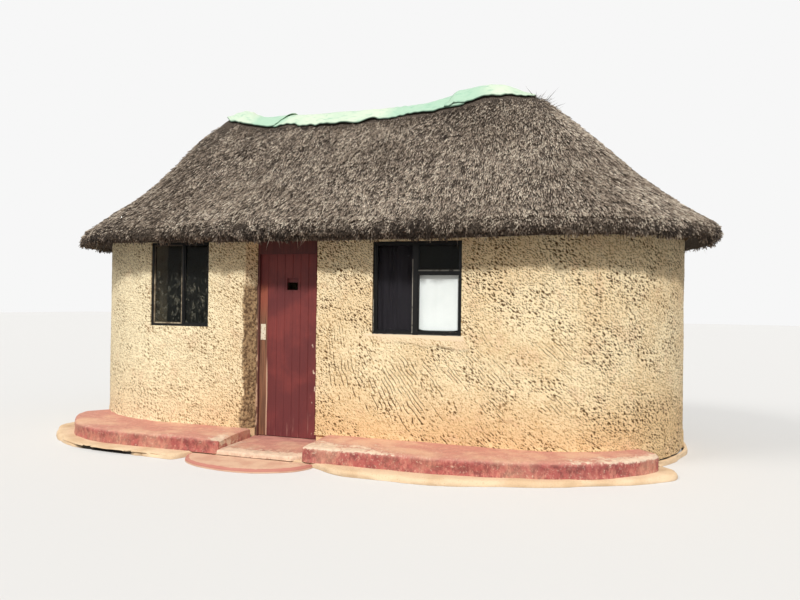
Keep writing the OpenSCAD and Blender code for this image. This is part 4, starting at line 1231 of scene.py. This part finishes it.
# Which of the places lie inside a hole: its left, right, sill and head
def insideOf(places, hole):
    left, right, sill, head = hole
    across, up = places[:, 0], places[:, 2]
    return (across > left) & (across < right) & (up > sill) & (up < head)


# One length of the coat along a path in plan, with at most one window in it
def addCoat(name, places, outwards, s, rows, holes):
    piece, column, row = newGrid(name, len(s) - 1, rows)
    plinthEnd = hut["halfLen"] + hut["endR"] * math.radians(45)
    low = np.where(np.abs(s[column]) > plinthEnd - 0.02, plasterCoat["bareLow"], plasterCoat["low"])
    z = low + (plasterCoat["high"] - low) * row / rows
    gap = (plasterCoat["high"] - plasterCoat["low"]) / rows
    for _, _, *levels in holes:
        for level in levels:
            z = np.where(np.abs(z - level) <= gap / 2, level, z)
    thick, marks = coatRelief(s[column], z)
    base = np.stack([places[column, 0], places[column, 1], z], axis=1)
    out = np.stack([outwards[column, 0], outwards[column, 1], np.zeros(len(z))], axis=1)
    setPlaces(piece, base + out * thick[:, None])
    setAttributes(piece, **marks)
    setMap(piece, s[column], z)
    middles = faceMiddles(piece)
    for hole in holes:
        deleteFaces(piece, insideOf(middles, hole) & (middles[:, 1] < 0))
    tuckEdges(piece)
    smoothed(piece, 62)
    finishPiece(piece, "coat")


# The coat's open edges are turned in to the wall
def tuckEdges(piece):
    pickOpenEdges(piece)
    bpy.ops.mesh.extrude_edges_move()
    bpy.ops.object.mode_set(mode="OBJECT")
    chosen = np.empty(len(piece.data.vertices), bool)
    piece.data.vertices.foreach_get("select", chosen)
    places = getPlaces(piece)
    middle = np.clip(places[:, 0], -hut["halfLen"], hut["halfLen"])
    inX, inY = middle - places[:, 0], -places[:, 1]
    size = np.hypot(inX, inY)
    places[chosen, 0] += (inX / size * plasterCoat["tucked"])[chosen]
    places[chosen, 1] += (inY / size * plasterCoat["tucked"])[chosen]
    setPlaces(piece, places)


# Directions that turn from one to another in even steps, without the first and the last
def turnsBetween(first, last):
    count = plasterCoat["cornerSteps"]
    turns = [np.array(first) * (1 - k / count) + np.array(last) * k / count for k in range(1, count)]
    return [turn / np.linalg.norm(turn) for turn in turns]


# The front's two lengths go round into the doorway's reveals, and the third one covers the rest
def addWallCoats():
    half, quarter = hut["halfLen"], hut["endR"] * math.pi / 2
    extra = plasterCoat["cornerSteps"] - 1
    lw, rw = hut["leftWindow"], hut["rightWindow"]
    cornerX = hut["revealLeft"] - hut["splay"]
    turnLeft = math.asin((-lw[0] - half) / hut["endR"]) * hut["endR"]
    steps = stepsOver([-half - quarter, -half - turnLeft, -half, lw[1], cornerX],
                      [0.017, 0.013, 0.0115, 0.0115])
    places, outwards = wallPath(steps)
    depth = np.hypot(hut["splay"], hut["frameY"] + hut["endR"])
    way = np.array([hut["splay"], hut["frameY"] + hut["endR"]]) / depth
    facing = np.array([way[1], -way[0]])
    corner = np.array([cornerX, -hut["endR"]])
    inner = [depth * k / plasterCoat["leftSteps"] for k in range(plasterCoat["leftSteps"] + 1)]
    places = np.vstack([places, [corner] * extra, [corner + way * d for d in inner]])
    outwards = np.vstack([outwards, turnsBetween([0.0, -1.0], facing), [facing] * len(inner)])
    reveal = np.concatenate([np.zeros(len(steps) + extra), inner])
    along = np.concatenate([steps, [cornerX] * (extra + len(inner))])
    addCoat("plasterLeft", places, outwards, along + reveal, plasterCoat["rows"], [lw])
    right = hut["revealRight"]
    steps = stepsOver([right, rw[0], rw[1], half, half + quarter], [0.0115, 0.0115, 0.0115, 0.0125])
    places, outwards = wallPath(steps)
    corner = np.array([right, -hut["endR"]])
    count = plasterCoat["rightSteps"]
    inner = [plasterCoat["rightDepth"] * (1 - k / count) for k in range(count + 1)]
    places = np.vstack([[corner + np.array([0.0, d]) for d in inner], [corner] * extra, places])
    outwards = np.vstack([[(-1.0, 0.0)] * len(inner), turnsBetween([-1.0, 0.0], [0.0, -1.0]), outwards])
    along = np.concatenate([right - np.array(inner), [right] * extra, steps])
    addCoat("plasterRight", places, outwards, along, plasterCoat["rows"], [rw])
    steps = stepsOver([half + quarter - 0.012, half + 2 * quarter, 3 * half + 2 * quarter],
                      [plasterCoat["backStep"]] * 2)
    places, outwards = wallPath(steps)
    mirrored = places[:-1][::-1] * np.array([-1, 1])
    keep = mirrored[:, 1] < hut["endR"] - 1e-6
    places = np.vstack([places, mirrored[keep]])
    outwards = np.vstack([outwards, (outwards[:-1][::-1] * np.array([-1, 1]))[keep]])
    along = lengthAlong(places) + half + quarter
    addCoat("plasterBack", places, outwards, along, plasterCoat["backRows"], [])


addWallCoats()


def addOverDoor():
    columns, rows = 80, 13
    lap, low = 0.02, hut["frameTop"] - 0.004
    piece, column, row = newGrid("plasterOverDoor", columns, rows)
    x = hut["revealLeft"] - lap + (hut["revealRight"] - hut["revealLeft"] + 2 * lap) * column / columns
    z = low + (plasterCoat["high"] - hut["frameTop"] + 0.004) * row / rows
    thick, marks = coatRelief(x, z)
    putAt(piece, x, -hut["endR"] - thick, z)
    setAttributes(piece, **marks)
    setMap(piece, x, z)
    tuckEdges(piece)
    smoothed(piece)
    finishPiece(piece, "coat")


addOverDoor()

print("stage: door leaf")
leaf = {
    "left": -0.866, "right": -0.11, "low": 0.098, "high": 2.118, "front": -1.5, "thick": 0.022,
    "stile": -0.764, "firstGroove": -0.657, "board": 0.0955, "groove": 0.0045, "grooveHalf": 0.005,
    "hole": (-0.535, -0.405, 1.71, 1.84), "levels": 40,
}


# The leaf's boards are one grid with grooves between them and the small square hole cut through
def addLeaf():
    grooves = [leaf["stile"]]
    while grooves[-1] < leaf["right"] - 0.08:
        grooves.append(leaf["firstGroove"] + leaf["board"] * (len(grooves) - 1))
    left, right, low, high = leaf["hole"]
    half = leaf["grooveHalf"]
    middles = [(a + b) / 2 for a, b in zip([leaf["left"]] + grooves, grooves + [leaf["right"]])]
    marks = sorted([leaf["left"], leaf["right"], left, right] + middles
                   + [g + d for g in grooves for d in (-half, 0, half)])
    levels = sorted(list(np.linspace(leaf["low"], leaf["high"], leaf["levels"])) + [low, high])
    piece, column, row = newGrid("boardedLeaf", len(marks) - 1, len(levels) - 1)
    x, z = np.array(marks)[column], np.array(levels)[row]
    near = np.min(np.abs(x[:, None] - np.array(grooves)[None]), axis=1)
    board = np.searchsorted(grooves, x + 1e-6)
    depth = leaf["groove"] * (near < 0.002)
    sway = 0.0012 * softNoise(np.stack([board * 3.7, z / 0.7, board * 0.0], axis=1), 1, 301)
    putAt(piece, x, leaf["front"] + depth + sway, z)
    deleteFaces(piece, insideOf(faceMiddles(piece), leaf["hole"]))
    applied(piece, "SOLIDIFY", thickness=leaf["thick"], offset=-1.0)
    places = getPlaces(piece)
    if places[:, 1].min() < leaf["front"] - 0.01:
        raise ValueError("the leaf is turned the wrong way")
    isBack = places[:, 1] > leaf["front"] + 0.012
    places[:, 1] = np.where(isBack, leaf["front"] + leaf["thick"], places[:, 1])
    setPlaces(piece, places)
    smoothed(piece, 30)
    finishPiece(piece, "leaf", ["door_leaf"], "door")


addLeaf()

print("stage: curtains")
cloth = {"columns": 90, "rows": 60, "thick": 0.001, "hem": 0.03, "inset": 0.002, "gathered": 1.2}


# A cloth in folds inside its solid's box: swing is the folds' share of the box's depth, fullness the flat
# width over the hung one, and rounded lifts the lower edge towards the corners
def addCurtain(name, node, folds, swing, fullness, look, rounded):
    low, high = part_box(node)
    columns, rows = cloth["columns"], cloth["rows"]
    piece, column, row = newGrid(name, columns, rows)
    u, v = column / columns, row / rows
    depth = high[1] - low[1]
    flat = onSheet(u, v)
    wave = np.sin((u * folds + 0.5 * softNoise(flat, (0.3, 0.8, 1), 311)) * 2 * math.pi)
    wave = wave * (0.6 + 0.4 * softNoise(flat, (0.3, 0.3, 1), 313))
    wave = wave + 0.3 * softNoise(flat, (0.2, 0.3, 1), 315)
    x = low[0] + cloth["inset"] + (high[0] - low[0] - 2 * cloth["inset"]) * u
    curve = 0.7 + 1.4 * np.abs(2 * u - 1) ** 6 + 0.25 * softNoise(flat, (0.3, 9, 1), 317)
    bottom = low[2] + cloth["thick"] + rounded * curve
    z = bottom + (high[2] - cloth["thick"] - bottom) * v
    y = (low[1] + high[1]) / 2 + np.clip(wave * swing, -1, 1) * (depth / 2 - 0.0015)
    putAt(piece, x, y, z)
    setMap(piece, x * fullness, z)
    applied(piece, "SOLIDIFY", thickness=cloth["thick"], offset=0.0)
    smoothed(piece)
    finishPiece(piece, look, [node])


addCurtain("darkCurtain", "dark_curtain", 6, 0.8, 1.3, "darkCloth", 0.0)
addCurtain("whiteCloth", "white_curtain", 1.5, 0.35, 1.02, "whiteCloth",
           0.018)

print("stage: plinth, steps and footing")
# Plinth and footing are how far they stand out by the door and further off
base = {
    "plinth": (0.61, 0.43), "footing": (0.80, 0.47), "from": 3.2, "over": 1.5,
    "plinthTurn": 45.0, "footingTurn": 48.0, "taper": 0.25, "rim": 0.06,
    "stepLeft": 0.395, "stepRight": 0.53, "lowLen": 1.35, "lowOut": 0.395, "lowShift": 0.035,
}
stepX0 = hut["doorMid"] - base["stepLeft"]
stepX1 = hut["doorMid"] + base["stepRight"]
stepY0 = -hut["endR"] - base["plinth"][0]
lowStepX = hut["doorMid"] - base["lowShift"]
baseLeft = 3 * hut["halfLen"] + 2 * math.pi * hut["endR"]
baseEnd = baseLeft + hut["halfLen"] + stepX0


def skirt(x, wide, narrow):
    return narrow + (wide - narrow) * eased(base["from"] - np.abs(x - hut["doorMid"]), 0, base["over"])


# Plan places along the base, from the front's middle around to the right, with how far it stands out
def basePath(kind, first, last, size):
    half, r = hut["halfLen"], hut["endR"]
    quarter = r * math.pi / 2
    s = np.linspace(first, last, int((last - first) / size) + 1)
    turnA = np.clip((s - half) / r, 0, math.pi)
    turnB = np.clip((s - 3 * half - 2 * quarter) / r, 0, math.pi)
    onBack = (s > half + 2 * quarter) & (s < 3 * half + 2 * quarter)
    past = s >= 3 * half + 2 * quarter
    x = np.where(s < half, s, half + r * np.sin(turnA))
    x = np.where(onBack, half - (s - half - 2 * quarter), x)
    x = np.where(past, -half - r * np.sin(turnB), x)
    x = np.where(s > baseLeft, -half + (s - baseLeft), x)
    y = np.where(past, r * np.cos(turnB), -r * np.cos(turnA))
    outX = np.where(past, -np.sin(turnB), np.sin(turnA))
    outY = np.where(past, np.cos(turnB), -np.cos(turnA))
    turn, stop = np.degrees(np.where(past, math.pi - turnB, turnA)), base[kind + "Turn"]
    taper = base["taper"] if kind == "plinth" else 0.0
    wide = skirt(x, *base[kind]) * (1 - taper * eased(turn, stop - 25, stop))
    wide = wide * (1 - 0.3 * np.clip((turn - stop + 6) / 6, 0, 1) ** 2)
    return s, x, y, outX, outY, np.where(turn > stop + 0.01, base["rim"], wide)


# Sweeps a closed profile along the base. A row of it holds the share of the width, an offset, the height,
# and how much it is top and edge; loop is for a band that goes all the way round.
def addBand(name, kind, first, last, profile, size, wobble, seed, loop=False):
    s, x, y, outX, outY, wide = basePath(kind, first, last, size)
    ended = 1 - eased(np.minimum(s - s[0], s[-1] - s), 0, 0.05)
    if not loop:
        wide = wide - 0.02 * ended
    piece, column, row = newGrid(name, len(s) - 1, len(profile))
    share, inset, height, top, edge = np.array(profile + profile[:1]).T[:, row]
    outward = wide[column] * share + inset * np.clip(wide[column] / 0.3, 0, 1)
    flat = np.stack([s[column], height * 3, share], axis=1)
    sway = wobble * layered(flat, (0.25, 0.25, 5), seed) * share
    chips = np.clip(softNoise(flat, (0.07, 1, 5), seed + 8) + 0.1, 0, 1)
    chips = chips + 1.5 * bell((s[column] - baseEnd) / 0.12) * (not loop)
    chips = chips * (edge if loop else eased(edge, 0.5, 1))
    px = x[column] + outX[column] * (outward + sway - wobble * chips)
    py = y[column] + outY[column] * (outward + sway - wobble * chips)
    pz = height + wobble * 0.3 * softNoise(onSheet(px, py), (0.15, 0.15, 1), seed + 4) * top
    pz = pz - wobble * 0.9 * chips - 0.012 * ended[column] * top * (not loop)
    putAt(piece, px, py, np.maximum(pz, 0.001))
    setAttributes(piece, top=top)
    return piece, s[column], edge, share


# Where feet have worn the plinth's edge: right of the door, along its right end, and at the left piece's end
def plinthWear(s, edge, share):
    right = 0.95 * eased(s, 1.45, 0.3) + 0.85 * eased(s, 2.1, 2.8) * eased(s, 5.2, 4.4)
    left = 0.9 * eased(baseEnd - s, 0.26, 0.03)
    amount = np.maximum(np.maximum(right, left), 0.16)
    amount = amount + 0.12 * softNoise(onSheet(s, share), (0.22, 0.5, 1), 333)
    return np.clip(amount * edge, 0, 1)


# Each profile has the columns that addBand names
baseProfiles = {
    "plinth": [(0, -0.02, 0.05, 0, 0), (0, -0.02, 0.192, 1, 0), (0, 0.02, 0.197, 1, 0),
               (0.2, 0, 0.196, 1, 0), (0.4, 0, 0.195, 1, 0.2), (0.6, 0, 0.195, 1, 0.5),
               (0.75, 0, 0.195, 1, 0.7),
               (0.88, 0, 0.195, 1, 0.85), (1, -0.04, 0.194, 1, 0.95), (1, -0.02, 0.192, 1, 1),
               (1, -0.008, 0.186, 0.7, 0.95), (1, -0.001, 0.176, 0.3, 0.55), (1, 0.001, 0.16, 0, 0.2),
               (1, 0.001, 0.14, 0, 0.1), (1, 0, 0.115, 0, 0), (1, 0.001, 0.09, 0, 0),
               (1, 0.003, 0.068, 0, 0.1), (1, 0.008, 0.05, 0, 0.3), (1, -0.04, 0.04, 0, 0),
               (0.5, 0, 0.04, 0, 0)],
    "footing": [(0.5, 0, 0.05, 1, 0), (0.8, 0, 0.052, 1, 0), (1, -0.12, 0.053, 1, 0),
                (1, -0.05, 0.052, 1, 0.1), (1, -0.02, 0.049, 1, 0.5), (1, -0.004, 0.042, 0.5, 1),
                (1, 0.004, 0.03, 0, 1), (1, 0.007, 0.016, 0, 0.5), (1, 0.006, 0.001, 0, 0.3),
                (1, -0.08, 0.001, 0, 0), (0.5, 0, 0.001, 0, 0)],
}


def addPlinth(side, first, last, seed):
    plinth, s, edge, share = addBand("plinth" + side, "plinth", first, last, baseProfiles["plinth"],
                                     0.024, 0.011, seed)
    setAttributes(plinth, wear=plinthWear(s, edge, share))
    closeUp(plinth, 50)
    finishPiece(plinth, "plinth",
                ["plinth_front_" + side.lower(), "plinth_" + side.lower() + "_end"])


# The footing's rim, which is drawn back at the low step and has a hollow under its edge at the left
def addFooting():
    footing, _, _, share = addBand("footingRim", "footing", 0, baseLeft + hut["halfLen"],
                                   baseProfiles["footing"], 0.03, 0.018, 91, True)
    places = getPlaces(footing)
    besideStep = places[:, 0] - lowStepX
    before = np.where(besideStep > 0, eased(besideStep, base["lowLen"] / 2 + 0.4, base["lowLen"] / 2 - 0.06),
                      eased(-besideStep, base["lowLen"] / 2 + 0.09, base["lowLen"] / 2 - 0.03))
    before = before * (places[:, 1] < stepY0)
    places[:, 1] += before * 0.98 * (stepY0 + 0.02 - places[:, 1])
    hollow = bell((places[:, 0] + 2.15) / 0.36) ** 0.5 * (places[:, 1] < -1.2)
    hollow = hollow * (places[:, 2] < 0.036) * (share > 0.9)
    hollow = hollow * (0.75 + 0.25 * softNoise(places, (0.06, 1, 1), 97))
    # The hollow attribute also paints the inside of the hollow dark as shade
    setAttributes(footing, hollow=hollow)
    turn = np.hypot(places[:, 0], places[:, 1])
    places[:, 0] -= places[:, 0] / turn * 0.10 * hollow
    places[:, 1] -= places[:, 1] / turn * 0.10 * hollow
    setPlaces(footing, places)
    closeUp(footing, 50)
    finishPiece(footing, "footing", ["footing"])


plinthTip = hut["endR"] * math.radians(base["plinthTurn"])
addPlinth("Right", stepX1, hut["halfLen"] + plinthTip, 81)
addPlinth("Left", baseLeft - plinthTip, baseEnd, 82)
addFooting()

# Share of the step's depth or size, height, and wear or red rim
stepProfiles = {
    "upper": [(0.0, 0.05, 0), (0.0, 0.09, 0), (0.35, 0.0905, 0), (0.6, 0.0905, 0.1), (0.78, 0.0905, 0.55),
              (0.9, 0.09, 0.95), (0.965, 0.088, 1), (0.99, 0.083, 1), (1.0, 0.075, 1),
              (1.003, 0.062, 0.9), (1.006, 0.045, 0.8), (0.97, 0.04, 0)],
    "lower": [(0.0, 0.0375, 0), (0.3, 0.038, 0), (0.6, 0.038, 0), (0.82, 0.038, 0), (0.9, 0.038, 0.2),
              (0.955, 0.037, 0.8), (0.985, 0.032, 1), (1.0, 0.022, 1), (1.004, 0.01, 1),
              (1.006, 0.001, 1), (0.9, 0.001, 0)],
}


# A slab with a worn front, swept across
def addUpperStep():
    profile = stepProfiles["upper"]
    depth, back = base["plinth"][0], -hut["endR"]
    columns = 46
    piece, column, row = newGrid("upperStep", columns, len(profile))
    share, height, wear = np.array(profile + profile[:1]).T[:, row]
    x = stepX0 - 0.004 + (stepX1 - stepX0 + 0.008) * column / columns
    flat = onSheet(x, share)
    broken = 0.10 * eased(x, stepX1 - 0.12, stepX1 - 0.01) * share
    y = back - depth * share - 0.014 * layered(flat, (0.12, 5, 1), 341) * share + broken
    z = height + 0.003 * softNoise(onSheet(x, y), (0.12, 0.12, 1), 343) * (height > 0.06)
    putAt(piece, x, y, z)
    side = eased(x, stepX0 + 0.16, stepX0 + 0.02) * (share > 0.3) * 0.8
    wear = np.maximum(wear, side) + 0.1 * softNoise(flat, (0.1, 1, 1), 345)
    setAttributes(piece, top=1 - eased(share, 0.55, 0.8), wear=np.clip(wear, 0, 1))
    closeUp(piece, 50)
    finishPiece(piece, "step", ["upper_step"])


# Half of a flat oval, in rings from its middle
def addLowerStep():
    radial = stepProfiles["lower"]
    columns = 72
    piece, column, row = newGrid("lowerStep", columns, len(radial))
    share, height, rim = np.array(radial + [(0.0, 0.001, 0)]).T[:, row]
    turn = math.pi * (1 + column / columns)
    flat = np.stack([np.cos(turn), np.sin(turn), height], axis=1)
    size = share * (1 + 0.02 * layered(flat, (0.35, 0.35, 5), 347))
    x = lowStepX + base["lowLen"] / 2 * np.cos(turn) * size
    y = stepY0 + base["lowOut"] * np.sin(turn) * size
    z = height + 0.002 * softNoise(onSheet(x, y), (0.1, 0.1, 1), 349) * (height > 0.03)
    putAt(piece, x, y, z)
    setAttributes(piece, rim=rim)
    closeUp(piece, 50)
    finishPiece(piece, "lowStep", ["lower_step"])


addUpperStep()
addLowerStep()

cadFinish = {
    "floor": ["floor_slab"],
    "wall": ["front_wall_left", "front_wall_right", "wall_over_door", "back_wall", "left_end_wall_front",
             "left_end_wall_back", "right_end_wall_front", "right_end_wall_back"],
    "frame": ["door_frame"], "leaf": ["door_ledges"], "plate": ["lock_plate"],
    "steel": ["rim_lock", "hinge_frame_plates", "hinge_leaf_plates", "curtain_wire"],
    "windowPaint": ["left_window_frame", "right_window_frame", "right_window_sashes"],
    "sashPaint": ["left_window_sashes"],
    "dustyGlass": ["left_window_panes"], "glass": ["right_window_panes"],
    "pole": ["ridge_pole", "slope_poles", "end_poles"], "lath": ["slope_laths", "end_laths"],
}
for key, names in cadFinish.items():
    for name in names:
        nodes[name].data.materials.clear()
        nodes[name].data.materials.append(finish[key])

print("stage: floor and light")
# Each lamp has its strength, and its softness, height and turn from the front in degrees
studio = {
    "lamps": [("sun", 3.0, 5, 43, 20), ("fill", 0.75, 20, 42, -48)], "sky": 0.36, "backdrop": 0.93,
    "floor": 120, "floorTone": (0.36, 0.35, 0.34, 1), "floorSeen": (0.74, 0.73, 0.71, 1),
}


def addStudio():
    bpy.ops.object.select_all(action="DESELECT")
    bpy.ops.mesh.primitive_plane_add(size=studio["floor"], location=(0, 0, -0.0005))
    ground = bpy.context.object
    ground.name = "studioFloor"
    bpy.ops.object.transform_apply(location=True, rotation=True, scale=True)
    material, shader, places = startMaterial("paleFloor", 0.95)
    seen = places.node("LightPath", {}, out="Is Camera Ray")
    plug(shader, "Base Color", blended(seen, studio["floorTone"], studio["floorSeen"]))
    ground.data.materials.append(material)
    for name, strength, soft, height, turn in studio["lamps"]:
        height, turn = math.radians(height), math.radians(turn)
        bpy.ops.object.light_add(type="SUN")
        lamp = bpy.context.object
        lamp.name = name + "Lamp"
        flat = math.cos(height)
        toLamp = Vector((flat * math.sin(turn), -flat * math.cos(turn), math.sin(height)))
        lamp.rotation_euler = toLamp.to_track_quat("Z", "Y").to_euler()
        lamp.data.energy = strength
        lamp.data.angle = math.radians(soft)
    world = bpy.data.worlds.new("studioWorld")
    world.use_nodes = True
    scene.world = world
    tree = world.node_tree
    sky = tree.nodes["Background"]
    sky.inputs["Color"].default_value = (1, 1, 1, 1)
    sky.inputs["Strength"].default_value = studio["sky"]
    shown = tree.nodes.new("ShaderNodeBackground")
    shown.inputs["Color"].default_value = (1, 1, 1, 1)
    shown.inputs["Strength"].default_value = studio["backdrop"]
    path = tree.nodes.new("ShaderNodeLightPath")
    seen = Wire(tree, path.outputs["Is Camera Ray"]) + Wire(tree, path.outputs["Is Glossy Ray"])
    seen = atMostOne(seen + Wire(tree, path.outputs["Is Transmission Ray"]))
    mix = tree.nodes.new("ShaderNodeMixShader")
    tree.links.new(seen.socket, mix.inputs[0])
    tree.links.new(sky.outputs[0], mix.inputs[1])
    tree.links.new(shown.outputs[0], mix.inputs[2])
    tree.links.new(mix.outputs[0], tree.nodes["World Output"].inputs["Surface"])


addStudio()

shown = [o for o in bpy.data.objects if o.type == "MESH" and not o.name.startswith("studio")]
print("stage: triangles", sum(len(p.vertices) - 2 for o in shown for p in o.data.polygons))
bpy.ops.object.select_all(action="DESELECT")
